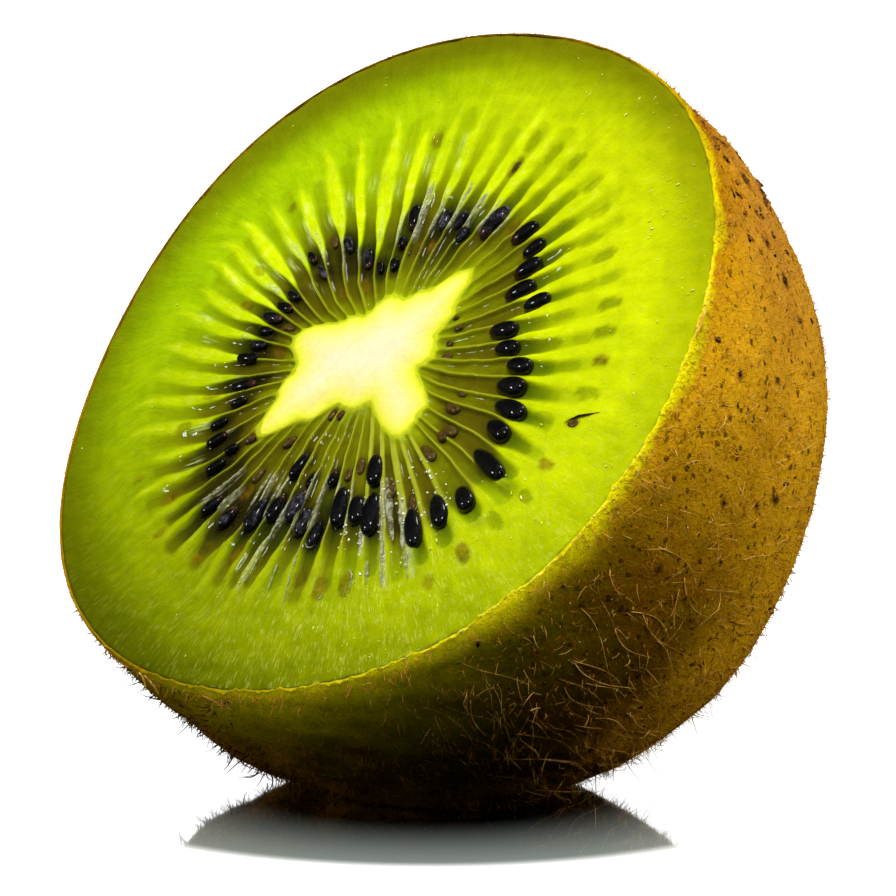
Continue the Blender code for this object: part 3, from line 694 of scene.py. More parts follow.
def fleshLook():
    look = Look("wetGreenFlesh", Subsurface_Weight=0.10, Subsurface_Radius=(1.0, 1.0, 0.15),
                Subsurface_Scale=0.001, Coat_Roughness=0.06, Coat_IOR=1.4, Specular_IOR_Level=0.0)
    field = look.field
    fibre, spot = field("fibre", "Vector"), look.place()
    streak, fine = look.noise(fibre, 2.4, 3.0, 0.6), look.noise(fibre, 7.5, 2.0, 0.6)
    blotch, mottle = look.noise(spot, 0.3, 3.0, 0.55), look.noise(spot, 1.1, 3.0, 0.6)
    grain = look.noise(spot, 4.5, 2.0, 0.6)
    streaky, reach = field("streaky"), field("reach")

    uneven = streaky * (0.44 * (streak - 0.5) + 0.24 * (fine - 0.5))
    # painted light and shade: the light field scales the flesh, its flecks, rays and ghosts
    light = field("light") * (1.0 + (uneven + 0.34 * (blotch - 0.5) + 0.30 * (mottle - 0.5)))
    warm = field("warm") + 0.4 * (blotch - 0.5) + 0.2 * (streak - 0.5)
    flesh = look.scaled(look.mix(warm, tint(196, 242, 4), tint(236, 246, 6)), light)
    # short pale flecks along the fibres, mostly low on the cut
    fleck = look.noise(fibre, 9.0, 3.0, 0.6).step(0.48, 0.66) * look.noise(spot, 1.3).step(0.36, 0.62)
    fleck = fleck * reach.step(15.0, 19.0) * (0.12 + 0.88 * field("low"))
    ray = look.mix(mottle.step(0.5, 0.7), tint(224, 246, 8), tint(236, 250, 60))
    shaded = (0.75 + 0.5 * streak) * (1 - 0.5 * field("murk").step(0.75, 1.15))

    # gel: olive where it is thin, brown-black round the seeds, where it lies deep and takes painted shade
    inGel = field("inGel") + 0.05 * (grain - 0.5)
    outside = reach.step(12.0, 17.0)
    gelMask = inGel.step(-0.04, 0.14) * (1 - outside) + inGel.step(-0.12, 0.42) * outside
    murk = (field("murk") + 0.34 * (look.noise(fibre, 1.2) - 0.5) + 0.25 * (mottle - 0.5)).held()
    gel = look.layers(
        tint(148, 164, 6),
        (murk.step(0.08, 0.42), look.mix(outside * field("warm"), tint(112, 116, 4), tint(112, 144, 4))),
        (murk.step(0.40, 0.74), tint(82, 76, 6)),
        (murk.step(0.72, 1.05), tint(32, 28, 6)),
        (field("lime") * 0.6, tint(150, 172, 6)),
    )

    ghostTint = look.scaled(tint(116, 132, 6), 0.40 + 0.6 * field("light"))
    brownTint = look.mix(mottle.step(0.35, 0.65), tint(58, 44, 8), tint(118, 88, 14))
    seedShadeTint = look.mix(grain.step(0.4, 0.7), tint(14, 13, 6), tint(44, 38, 8))
    paleTint = look.mix(grain.step(0.35, 0.7), tint(132, 130, 96), tint(206, 206, 176))
    # tiny pale specks of juice cells, painted as glints
    glintSpecks = look.spots(spot, 0.8, 0.07, 0.14) * reach.step(12.0, 20.0)
    colour = look.layers(
        flesh,
        (fleck * 0.65, look.scaled(tint(228, 238, 92), 0.30 + 0.80 * light)),
        (field("ray") * (0.8 + 0.4 * streak), look.scaled(ray, 0.30 + 0.90 * light)),
        (field("inRing") * 0.92, look.scaled(tint(124, 128, 12), shaded)),
        (gelMask * field("gelShare"), look.scaled(gel, 0.72 + 0.5 * streak)),
        ((field("ghost") * (0.75 + 0.5 * (grain - 0.3))).held() * 0.8, ghostTint),
        ((field("brown") * (0.6 + 0.7 * grain)).held() * 0.8, brownTint),
        (field("shade") * 0.75, tint(52, 84, 4)),
        # dark painted shade round the seeds, in the gel
        (field("seedShade") * gelMask * (0.65 + 0.6 * streak), seedShadeTint),
        (field("line") * 0.55, tint(168, 174, 54)),
        ((field("pale") * look.noise(fibre, 5.0, 3.0).step(0.33, 0.58)).held() * 0.85, paleTint),
        ((field("milk") * look.noise(fibre, 4.0, 3.0).step(0.42, 0.62)).held() * 0.5, tint(206, 222, 130)),
        (field("glow") * 0.6, tint(184, 190, 34)),
        ((field("olive") * (0.7 + 0.6 * (streak - 0.5))).held() * 0.6, tint(112, 104, 8)),
        (glintSpecks * 0.6, tint(240, 240, 140)),
    )
    wet = gelMask * 0.7 + 0.3 * grain.step(0.45, 0.7)
    height = streaky * (0.6 * streak + 0.4 * fine) + 0.6 * grain + 0.6 * mottle + 0.8 * glintSpecks
    return look.finish(
        Base_Color=colour, Roughness=0.45 - 0.2 * wet, Coat_Weight=(0.15 + 0.7 * wet).held(),
        Normal=look.bump(height, 0.09),
    )


corePlan = {
    "sides": 400, "rows": 44, "scallop": 0.20, "lap": 0.12, "ripples": (0.02, 2.5, 12),
    "height": -0.04, "edgeDrop": 0.12, "edgeWidth": 0.14, "stemShares": (0.03, 0.15, 0.35, 0.6, 0.82, 1.0),
}


def makeCore():
    # rings from the middle to a scalloped outline, low at their edge, then down the stem
    plan = corePlan
    angle = np.linspace(0, 2 * math.pi, plan["sides"], endpoint=False)
    across = acrossChamber(angle, coreRadius(angle))
    scallop = plan["scallop"] * np.sqrt(np.clip(1 - (2 * across) ** 2, 0, 1))
    outline = coreRadius(angle) - scallop + plan["lap"]
    rim = polar(angle, outline)
    rings, edges = [], []
    for share in 1 - (1 - np.linspace(0.04, 1.0, plan["rows"])) ** 1.35:
        # how far each point lies from the nearest point of the outline
        inwards = np.sqrt(((share * rim[:, None] - rim[None]) ** 2).sum(-1).min(1))
        ring = polar(angle, outline * share)
        height = fruit["coreDome"] * (1 - share ** 2) + ripples(ring, plan["ripples"]) + plan["height"]
        ring[:, 2] = height - plan["edgeDrop"] * (1 - smooth(inwards / plan["edgeWidth"]))
        rings.append(ring)
        edges.append(inwards)
    rings += [coreStem(angle, outline, share) for share in plan["stemShares"]]
    hidden = np.zeros(plan["sides"] * len(plan["stemShares"]))
    poles = [[0, 0, fruit["coreDome"]], leanAt(fruit["coreDepth"]) + [0, 0, -fruit["coreDepth"] - 0.2]]
    points = np.concatenate([np.concatenate(rings), poles])
    fields = {"edge": np.concatenate([*edges, hidden, [edges[0].mean(), 0.0]])}
    faces = ballFaces(len(rings), plan["sides"])
    makePiece("coreFlesh", coreLook(), points, faces, fields, ("core",))


def coreLook():
    look = Look("creamCore", Subsurface_Weight=0.1, Subsurface_Radius=(1.0, 1.0, 0.4),
                Subsurface_Scale=0.0012, Coat_Roughness=0.15, Specular_IOR_Level=0.0)
    spot = look.place()
    cloud, grain = look.noise(spot, 0.35, 3.0, 0.6), look.noise(spot, 2.2, 3.0, 0.6)
    depth = look.field("edge") + 0.8 * (cloud - 0.5)
    vein = (look.noise(spot, 0.22) - 0.5).unsigned().step(0.03, 0.0)
    colour = look.layers(
        tint(188, 194, 26),
        (depth.step(-0.15, 0.4), tint(226, 228, 52)),
        (depth.step(0.2, 0.9), tint(233, 226, 104)),
        (depth.step(0.7, 1.9), tint(232, 225, 148)),
        (depth.step(1.6, 3.4), tint(232, 226, 182)),
        (vein * depth.step(1.0, 2.5) * 0.3, tint(236, 216, 124)),
    )
    return look.finish(
        Base_Color=look.scaled(colour, 0.78 + 0.16 * grain), Roughness=0.4 + 0.1 * grain, Coat_Weight=0.12,
        Normal=look.bump(grain + cloud, 0.05),
    )


def laySeeds(places, shape, draw):
    # eggs on the cut, their narrow ends inwards, each turned a little, and a number of each seed's own
    rings, sides, widths, high, lift, stray = shape
    way, at, length = (np.array(column, float) for column in zip(*places))
    way = np.radians(way)
    lie = way + draw.uniform(-stray, stray, len(way))
    fat = np.clip(widths[0] * length, widths[1], widths[2]) * draw.uniform(0.92, 1.08, len(way))
    fat = fat * (0.9 + 0.12 * np.cos(way))
    centres = polar(way, at, lift + draw.uniform(-0.05, 0.05, len(way)))
    points, faces = eggs(rings, sides, centres, flatAxes(lie, length, fat, fat * high))
    return points, faces, np.repeat(draw.uniform(0, 1, len(way)), len(points) // len(way))


def makeSeeds():
    draw = np.random.default_rng(33)
    paintedSheens = [paintedSheen for *_, paintedSheen in seedPlan["black"]]
    points, faces, own = laySeeds([place[:3] for place in seedPlan["black"]], seedPlan["blackShape"], draw)
    rings, sides = seedPlan["blackShape"][:2]
    fields = {
        "end": np.tile(eggShape(rings, sides)[:, 0], len(paintedSheens)),
        "own": own,
        "paintedSheen": np.repeat(np.array(paintedSheens, float), len(points) // len(paintedSheens)),
    }
    makePiece("blackSeeds", blackSeedLook(), points, faces, fields)
    points, faces, own = laySeeds(seedPlan["young"], seedPlan["youngShape"], draw)
    makePiece("youngSeeds", youngSeedLook(), points, faces, {"own": own})


def blackSeedLook():
    look = Look("blackSeed", Coat_Roughness=0.05, Coat_IOR=1.5, Specular_IOR_Level=0.25)
    spot, own = look.place(), look.field("own")
    grain, patch = look.noise(spot, 5.0, 3.0, 0.6), look.noise(spot, 1.6, 3.0, 0.65)
    brown = 0 - look.field("end") + 0.5 * (grain - 0.5) - 0.3 * own
    paintedSheenTint = look.mix(grain.step(0.4, 0.65), tint(36, 34, 44), tint(112, 108, 120))
    colour = look.layers(
        tint(4, 4, 5),
        (brown.step(0.16, 0.36) * own.step(0.55, 0.3) * 0.8, tint(58, 28, 8)),
        # painted reflection: a grey-blue sheen over some seeds
        ((look.field("paintedSheen") * patch.step(0.42, 0.62)).held() * 0.7, paintedSheenTint),
    )
    return look.finish(
        Base_Color=colour, Roughness=0.28 + 0.25 * grain, Coat_Weight=(0.6 + 0.4 * grain).held(),
        Normal=look.bump(look.cells(spot, 6.0) * 0.8 + grain, 0.05),
    )


def youngSeedLook():
    look = Look("youngSeed", Coat_Roughness=0.08, Specular_IOR_Level=0.3)
    grain = look.noise(look.place(), 4.0, 3.0, 0.6)
    colour = look.layers(
        tint(30, 18, 6),
        (grain.step(0.35, 0.7), tint(92, 60, 12)),
        (look.field("own") * 0.5, tint(86, 76, 10)),
    )
    return look.finish(
        Base_Color=colour, Roughness=0.3 + 0.2 * grain, Coat_Weight=0.5, Normal=look.bump(grain, 0.05),
    )


# small things on the cut
trimmings = {
    # silvery skins that peel along the walls: way and radius at both ends, half width
    "silver": (
        (-55.6, 11.2, -55.0, 16.8, 0.30), (-63.8, 12.2, -64.2, 16.8, 0.17), (-58.0, 11.6, -58.4, 20.2, 0.16),
        (-52.2, 14.0, -52.6, 20.4, 0.20), (-83.0, 10.0, -83.2, 14.0, 0.12), (-95.6, 12.0, -94.5, 19.2, 0.15),
        (-101.4, 13.8, -105.0, 10.2, 0.14), (-108.2, 14.0, -112.0, 10.6, 0.17),
        (-118.2, 13.0, -118.4, 15.2, 0.18), (-124.0, 12.2, -125.0, 16.4, 0.16),
        (-89.4, 9.6, -89.3, 14.0, 0.09), (-83.2, 15.0, -81.6, 19.6, 0.09), (-61.6, 17.6, -61.9, 19.4, 0.16),
        (102.2, 9.4, 101.2, 14.2, 0.18), (79.2, 10.4, 78.8, 13.6, 0.16), (86.8, 10.6, 86.6, 14.0, 0.13),
        (94.8, 9.8, 94.4, 13.6, 0.12), (71.8, 11.0, 72.2, 13.5, 0.11), (-88.0, 16.6, -87.2, 18.8, 0.10),
    ),
    # bright arcs round seeds: way, radius, half length, half width, from and to which turn in degrees
    "arcs": (
        (-48.8, 14.3, 0.95, 0.62, -60, 60), (-55.0, 12.3, 0.9, 0.5, 40, 160),
        (-79.8, 14.3, 1.1, 0.68, -60, 40), (-73.6, 18.7, 1.1, 0.5, -40, 70),
        (-67.0, 18.8, 1.1, 0.5, 60, 170), (179.0, 12.7, 0.5, 0.7, -70, 70),
    ),
    "arcHalf": 0.05, "arcHeight": -0.01, "silverSteps": 26,
    # crumbs low on the cut, towards the rim and all round: how many, which ways and radii
    "lowCrumbs": (50, (-52, 24), (17.5, 25.6)),
    "rimCrumbs": (80, (25, 30), (21.0, 26.0)),
    "allCrumbs": (24, (-180, 180), (14.0, 26.0)),
    # a dark thorn: way and radius of its three points
    "thorn": ((-6.6, 21.75), (-8.4, 20.25), (-10.7, 19.4)), "thornHalf": 0.09,
    # beads of juice, near white as painted highlights: how many, on which walls, how far off them in
    # degrees, their radius and its spread
    "beads": 130, "beadWalls": (284, 320), "beadStray": 1.5, "beadRing": (14.6, 1.6),
}


def makeTrimmings():
    draw = np.random.default_rng(52)
    makeSilver(draw)
    makeCrumbs(draw)
    makeThorn()
    makeBeads(draw)


def makeSilver(draw):
    # flat tubes along the walls with a small random walk, and arcs m + a cos(t) out + b sin(t) aside
    plan = trimmings
    t = np.linspace(0, 1, plan["silverSteps"])
    ends = np.sqrt(np.sin(math.pi * np.clip(t, 0.02, 0.98)))
    paths, radii = [], []
    for way, low, wayTo, high, half in plan["silver"]:
        path = polar(np.radians(way + (wayTo - way) * t), low + (high - low) * t)
        walk = np.cumsum(draw.normal(size=(len(t), 3)) * [0.5, 0.5, 0.0], axis=0)
        path += 0.06 * walk * (t * (1 - t))[:, None]
        path[:, 2] = ripples(path, (0.04, 1.6, 61))
        paths.append(path)
        radii.append(half * ends * (1 + ripples(path, (0.2, 1.4, 62))))
    for way, at, half, wide, low, high in plan["arcs"]:
        turn = np.radians(low + (high - low) * t)
        middle, out = polar(math.radians(way), at), polar(math.radians(way), 1.0)
        side = np.array([-out[1], out[0], 0.0])
        path = middle + half * np.cos(turn)[:, None] * out + wide * np.sin(turn)[:, None] * side
        path[:, 2] = plan["arcHeight"]
        paths.append(path)
        radii.append(plan["arcHalf"] * ends * (1 + ripples(path, (0.3, 0.7, 63))))
    points, faces = tubes(np.array(paths), np.array(radii), 6, 0.35, [0.0, 0.0, 1.0])
    look = Look("silverSkin", Coat_Roughness=0.1, Specular_IOR_Level=0.2, Coat_Weight=0.6)
    spot = look.place()
    grain, patch = look.noise(spot, 6.0, 3.0, 0.6), look.noise(spot, 1.8, 3.0, 0.65)
    look.finish(
        Base_Color=look.mix(patch.step(0.35, 0.70), tint(122, 128, 84), tint(190, 190, 160)),
        Roughness=0.25 + 0.3 * grain, Normal=look.bump(grain + patch, 0.08),
        Alpha=(0.08 + 0.62 * patch.step(0.36, 0.66)).held() * (0.75 + 0.25 * grain),
    )
    makePiece("silverSkins", look, points, faces)


def makeCrumbs(draw):
    # crumbs of flesh and juice, longer along the fibres, thicker low down and towards the rim
    plan = trimmings
    (low, lowWays, lowRing), (rim, rimWays, rimRing) = plan["lowCrumbs"], plan["rimCrumbs"]
    some, ways, ring = plan["allCrumbs"]
    way = [draw.normal(*lowWays, low), draw.normal(*rimWays, rim), draw.uniform(*ways, some)]
    radius = [draw.uniform(*lowRing, low), draw.uniform(*rimRing, rim), draw.uniform(*ring, some)]
    way, count = np.radians(np.concatenate(way)), low + rim + some
    lie = way + draw.normal(0, 0.35, count)
    long = 0.08 + 0.34 * draw.uniform(0, 1, count) ** 3.5
    wide = 0.028 + 0.05 * draw.uniform(0, 1, count) ** 2
    centres = polar(way, np.concatenate(radius), -0.03)
    points, faces = eggs(4, 6, centres, flatAxes(lie, long, wide, 0.8 * wide))
    look, _ = plainLook("crumb", (0.8,), (0.35, 0.65), (196, 214, 30), (246, 242, 130), 0.3,
                        Coat_Roughness=0.1, Coat_Weight=0.6)
    makePiece("juiceCrumbs", look, points, faces)


def makeThorn():
    # a tube bent through three points, thickest in the middle as sin(pi t)
    share = np.linspace(0, 1, 9)
    way, radius = (np.interp(share * 2, [0, 1, 2], column) for column in np.transpose(trimmings["thorn"]))
    path = polar(np.radians(way), radius, 0.05)
    half = trimmings["thornHalf"] * np.sin(math.pi * np.clip(share, 0.05, 0.95))
    points, faces = tubes(path[None], half[None], 5)
    look = Look("darkThorn", Specular_IOR_Level=0.3)
    grain = look.noise(look.place(), 4.0)
    look.finish(Base_Color=look.mix(grain, tint(20, 14, 6), tint(50, 34, 10)), Roughness=0.4 + 0.2 * grain)
    makePiece("thorn", look, points, faces)


def makeBeads(draw):
    # beads of juice that catch the light, near white as painted highlights, on the walls and in the sunken
    # gel among the lowest seeds
    count, (first, last) = trimmings["beads"], trimmings["beadWalls"]
    off = draw.normal(0, trimmings["beadStray"], count)
    base = np.radians(draw.choice(walls[(walls > first) & (walls < last)], count) + off)
    radius = draw.normal(*trimmings["beadRing"], count)
    way = leaned(base, radius)
    sink = gelSink(way, radius, np.radians(np.abs(off)) * radius - 0.1)
    lie = way + draw.normal(0, 0.7, count)
    long = 0.07 + 0.22 * draw.uniform(0, 1, count) ** 2
    wide = 0.045 + 0.055 * draw.uniform(0, 1, count)
    points, faces = eggs(6, 8, polar(way, radius, -0.03 - sink), flatAxes(lie, long, wide, 0.8 * wide))
    points += np.stack([ripples(points, (0.03, 0.25, seed)) for seed in (64, 65, 66)], -1)
    look, _ = plainLook("juice", (3.0,), (0.35, 0.65), (212, 216, 180), (252, 252, 244), 0.2,
                        Coat_Roughness=0.05, Coat_Weight=1.0)
    makePiece("juiceGlintBeads", look, points, faces)


skin = {
    "sides": 640, "rows": 118, "thickness": 0.30, "outerFrom": 0.45, "lastTurn": 89.2, "crowding": 0.97,
    "innerDepths": (1.5, 6.0, 13.0, 21.0, 28.0, 33.0, 35.0),
    # the section of the rim: inset, height, share of the raggedness, and the depth that its colours take
    "lips": (
        (0.24, -0.5, 0, 0.5), (0.26, -0.14, 0, 0.1), (0.21, -0.04, 1, 0.0),
        (0.13, -0.01, 1, 0.0), (0.06, -0.08, 1, 0.1), (0.01, -0.25, 0.4, 0.3),
    ),
    "rimRipples": ((0.05, 0.7, 14), (0.05, 2.4, 15)), "wobble": ((0.35, 4.0, 16), (0.12, 1.2, 17)),
    # dark scabs: way, depth, size in mm
    "scabs": (
        (48, 2.1, 0.8), (50, 3.4, 0.5), (44, 4.9, 0.7), (46, 7.7, 0.6), (38, 3.4, 0.4), (34, 6.5, 0.45),
        (31, 9.0, 0.4), (9, 5.2, 0.40), (27, 11.3, 0.40), (-20.5, 7.1, 0.40), (-7, 9.0, 0.35),
        (14, 9.5, 0.35), (-45, 1.6, 0.5), (-88, 1.2, 0.5), (-31, 2.2, 0.4), (-38, 4.2, 0.35),
        (0, 14.0, 0.4), (-3, 12.5, 0.3), (120, 6.0, 0.5), (150, 14.0, 0.4), (-150, 9.0, 0.5),
        (85, 10.0, 0.5), (100, 18.0, 0.4), (-170, 20.0, 0.5),
    ),
}


def skinLook():
    look = Look("fuzzySkin", Coat_Roughness=0.4, Specular_IOR_Level=0.0, Emission_Strength=0.45)
    field, spot = look.field, look.place()
    ragged = look.warped(spot, 2.4, 0.55)
    cloud, mottle = look.noise(spot, 0.16, 3.0, 0.55), look.noise(spot, 0.9, 4.0, 0.62)
    pores, grain = look.noise(spot, 3.2, 4.0, 0.7), look.noise(spot, 8.0, 3.0, 0.7)
    # tints of the painted shade low on the right
    lowShadeTint = look.mix(cloud.step(0.42, 0.58), tint(112, 76, 2), tint(98, 78, 2))
    colour = look.layers(
        tint(168, 112, 4),
        (cloud.step(0.3, 0.7), tint(206, 148, 6)),
        (mottle.step(0.45, 0.70) * 0.5, tint(142, 88, 6)),
        # painted sheen towards the limb
        (field("paintedLimbSheen") * (0.4 + 0.8 * mottle), tint(196, 136, 62)),
        # painted light on the lit right side
        (field("paintedLitSide") * (0.5 + 0.8 * mottle), tint(254, 192, 26)),
        # painted shade low on the right
        (field("paintedLowShade") * (0.8 + 0.4 * mottle), lowShadeTint),
        (field("olive") * (0.75 + 0.5 * (mottle - 0.5)), tint(168, 160, 4)),
        (field("glow") * (0.6 + 0.9 * mottle), tint(238, 226, 6)),
    )
    dots, small = look.spots(ragged, 1.1, 0.25, 0.75), look.spots(ragged, 2.2, 0.13, 0.85)
    red, pale = look.spots(look.warped(spot, 1.5, 0.7), 1.3, 0.26, 0.65), look.spots(ragged, 1.5, 0.11, 0.60)
    colour = look.layers(
        look.scaled(colour, 0.42 + 0.78 * pores + 0.42 * grain),
        (look.noise(spot, 2.0, 3.0, 0.7).step(0.56, 0.70) * 0.35, tint(112, 60, 4)),
        ((field("lip") * pores.step(0.48, 0.66)).held() * 0.75, tint(232, 220, 100)),
        (field("crust") * (0.5 + 0.8 * mottle), tint(96, 72, 6)),
        (red * 0.5, tint(138, 62, 4)),
        (((dots * 0.9 + small * 0.7) * field("dotty")).held() * 0.8, tint(52, 26, 4)),
        (pale * 0.75, tint(250, 224, 120)),
        (field("scab"), tint(50, 27, 10)),
    )
    height = 0.7 * mottle + 0.9 * pores + 0.5 * grain + 0.8 * pale + 0.5 * dots + 0.6 * field("scab")
    # painted glow: light through the skin near the rim, low down and on the lower right, given as emission
    through = look.scaled(tint(150, 148, 3), field("through") * (0.35 + 1.3 * mottle))
    return look.finish(
        Base_Color=colour, Roughness=0.65 + 0.2 * grain, Emission_Color=look.scaled(through, 0.5 + pores),
        Normal=look.bump(height, 0.22),
    )


def skinFields(angle, depth):
    # where each colour of the skin, and its painted light, sheen and shade, lies: at ways round it and
    # depths below the cut, with a wobble
    def by(way, width):
        return near(angle, way, width)

    wobble = ripples(polar(angle, 25.0, -depth), *skin["wobble"])
    # light through the rim: a narrow yellow band on the right, wide and green below, none above
    glowReach = np.clip(0.65 + 1.3 * by(-52, 27) + 0.8 * wobble, 0.2, 3.0)
    glow = np.exp(-(depth / glowReach) ** 4) * np.clip(swing(angle, 0.30, (0.75, 1, -28)), 0, 1)
    lit = by(-74, 36) * np.exp(-depth / (2.4 + wobble))
    lit = lit + 1.2 * by(-36, 18) * np.exp(-(depth / (1.5 + wobble)) ** 2)
    olive = np.exp(-(depth / (3.0 + 4.0 * by(-70, 42) + 2 * wobble)) ** 2)
    # painted light: bright golden skin on the right, where the lamps fall, deep down and near the rim
    litSideDeep = smooth((depth - 4 + 2 * wobble) / 14.0) * by(-2, 40)
    litSideRim = smooth((depth + 0.5) / 2.5) * by(0, 24) * (1 - 0.3 * smooth((depth - 5) / 5.0))
    dotty = np.clip(0.75 + 0.4 * by(0, 60) + 0.4 * wobble, 0, 1)
    lip = np.clip(0.8 * by(-34, 32) + 0.9 * by(14, 10) + 0.7 * wobble, 0, 1)
    # crusts above on the rim, at the far end and low on the rim
    crust = smooth((0.9 - depth) / 0.8) * np.clip(-0.1 + by(130, 80) + 0.4 * wobble, 0, 1)
    crust = np.maximum(crust, 0.9 * smooth((depth - 34.4 + 0.5 * wobble) / 0.9))
    crust = np.maximum(crust, 0.75 * smooth((0.40 - depth) / 0.3) * by(-108, 52))
    scab = np.zeros(depth.shape)
    for way, deep, size in skin["scabs"]:
        gap = np.hypot(np.radians(apart(np.degrees(angle), way)) * 25, depth - deep) / size
        scab = np.maximum(scab, smooth(1.3 - gap + 1.2 * wobble))
    return {
        # painted sheen: paler, pinker skin towards the limb on the upper right
        "paintedLimbSheen": smooth((depth - 0.3 + wobble) / 6.0) * by(44, 38) * 0.6,
        "paintedLitSide": np.maximum(litSideDeep, litSideRim) * 0.9,
        "olive": olive * np.clip(by(-82, 42) + 0.15 * by(-30, 25), 0, 1),
        "glow": glow * (1 - 0.75 * by(-105, 38)),
        # painted shade: darker, duller brown low on the right
        "paintedLowShade": by(-38, 32) * smooth((depth - 1.2) / 2.0) * (1 - smooth((depth - 12.0) / 8.0)),
        "dotty": dotty * smooth((depth - 0.4) / 1.0),
        "lip": smooth((0.26 - depth) / 0.26) * lip,
        "crust": crust,
        "scab": scab,
        "through": lit * smooth((depth + 0.1) / 0.5),
    }


def makeSkin():
    # rings up the inside of the skin, over its ragged rim and down the outside to the far end
    plan = skin
    angle = np.linspace(0, 2 * math.pi, plan["sides"], endpoint=False)
    start = -math.asin((fruit["girthDepth"] - plan["outerFrom"]) / bodyReach)
    end = math.radians(plan["lastTurn"])
    turns = start + (end - start) * np.linspace(0, 1, plan["rows"]) ** plan["crowding"]
    depths = fruit["girthDepth"] + bodyReach * np.sin(turns)
    rim = cutRadius(angle)
    ragged = (0.45 + 0.75 * near(angle, -45, 60)) * ripples(polar(angle, rim), *plan["rimRipples"])
    lips = [
        polar(angle, rim - inset - 1.2 * ragged * free, height + ragged * free)
        for inset, height, free, _ in plan["lips"]
    ]
    inner = [skinSurface(angle, depth, plan["thickness"]) for depth in plan["innerDepths"]]
    rings = np.concatenate([inner[::-1], lips, skinSurface(angle, depths[:, None])])
    tip = leanAt(fruit["bodyDepth"]) + [0, 0, skinSurface(0.0, fruit["bodyDepth"] - 1e-4)[2]]
    points = np.concatenate([rings.reshape(-1, 3), [tip + [0, 0, 0.5], tip]])
    lipDepths = [depth for *_, depth in plan["lips"]]
    depth = np.concatenate([plan["innerDepths"][::-1], lipDepths, depths])[:, None] + 0 * angle
    fields = skinFields(angle + 0 * depth, depth)
    fields = {title: np.append(values.ravel(), [0, 0]) for title, values in fields.items()}
    faces = ballFaces(len(rings), plan["sides"], flip=True)
    makePiece("skinShell", skinLook(), points, faces, fields)


hair = {
    # standing hairs: how many, ways and depths (even over the skin where None), lengths, thickness, how far
    # they lay over and bend, steps
    "standing": {
        "fuzz": (13500, (-180, 180), None, (0.18, 0.50), 0.024, 0.6, 0.4, 3),
        "halo": (6000, (-180, 180), None, (0.35, 0.80), 0.030, 0.4, 0.4, 4),
        "atRim": (900, (-180, 180), (0.1, 1.4), (0.3, 0.9), 0.030, 0.4, 0.4, 4),
        "shag": (700, (-62, 12), None, (0.5, 1.2), 0.036, 0.8, 0.5, 4),
        "tufts": (300, (-132, -90), (0.6, 20.0), (0.3, 1.0), 0.06, 0.55, 0.4, 4),
        "bristles": (16, (-106, -94), (9.0, 17.0), (1.2, 2.2), 0.07, 0.45, 0.5, 6),
        "back": (120, (100, 230), (1.0, 20.0), (0.4, 1.3), 0.03, 0.8, 0.6, 4),
    },
    # lying hairs: how many, ways, depths, lengths, turn from straight down and its spread, rise, thickness
    "lying": {
        "golden": (80, (-60, -12), (4.5, 25.0), (2.4, 7.4), (-3, 11), (0.1, 0.8), 0.036),
        "bottom": (34, (-75, -45), (1.5, 14.0), (1.8, 4.6), (-10, 14), (0.1, 0.7), 0.028),
        "few": (14, (-25, 10), (2.0, 20.0), (1.2, 2.6), (80, 20), (0.05, 0.3), 0.020),
    },
    # pieces: their kinds of hair, then the name, two colours and shine of their look
    "pieces": {
        "shortFuzz": (("fuzz",), "fuzz", (140, 88, 8), (198, 134, 36), 0.0),
        "paleFuzz": (("halo", "atRim"), "paleHair", (168, 108, 22), (214, 154, 70), 0.0),
        "longHairs": (
            ("golden", "bottom", "few", "shag"), "goldenHair", (206, 142, 34), (250, 204, 104), 0.5,
        ),
        "darkTufts": (("tufts", "bristles", "back"), "darkHair", (70, 44, 8), (140, 96, 26), 0.3),
    },
    "deepest": 35.2,
    # crusts: those at the scabs over the scabs' size; a patch of some, its ways and depths, and their sizes;
    # many all over, and their sizes
    "scabCrust": 0.45, "patchCrusts": (26, (45, 7), (0.5, 9.0), (0.12, 0.34)),
    "allCrusts": (150, (0.08, 0.22)),
    # chips of peel at the rim: way and depth at both ends, how far they lift
    "chips": (
        (-103.5, 0.2, -101.5, 1.6, 0.5), (-104.5, 0.1, -103.8, 1.3, 0.7),
        (-91.5, 0.6, -87.0, 1.9, 0.2), (8.0, -0.2, 14.0, 0.1, 0.15),
    ),
}


def evenDepth(draw, count, deepest=0.985):  # even over the skin's area
    turns = np.arcsin(draw.uniform(-0.19, deepest, count))
    return np.minimum(fruit["girthDepth"] + bodyReach * np.sin(turns), hair["deepest"])


def standUp(draw, way, depth, lengths, thick, lay, bend, steps):
    # a hair leaves the skin along its normal, leans over by lay and sags by bend as t^2
    count = len(way)
    root, normal = skinNormal(np.radians(way), depth)
    length = draw.uniform(*lengths, count)[:, None, None]
    t = np.linspace(0, 1, steps)[None, :, None]
    start = unit(normal + draw.normal(size=(count, 3)) * lay)
    curl = draw.normal(size=(count, 3)) * bend
    paths = root[:, None] - 0.05 * normal[:, None] + length * (start[:, None] * t + curl[:, None] * t ** 2)
    return tubes(paths, thick * draw.uniform(0.7, 1.3, count)[:, None] * (1 - 0.75 * t[..., 0]))


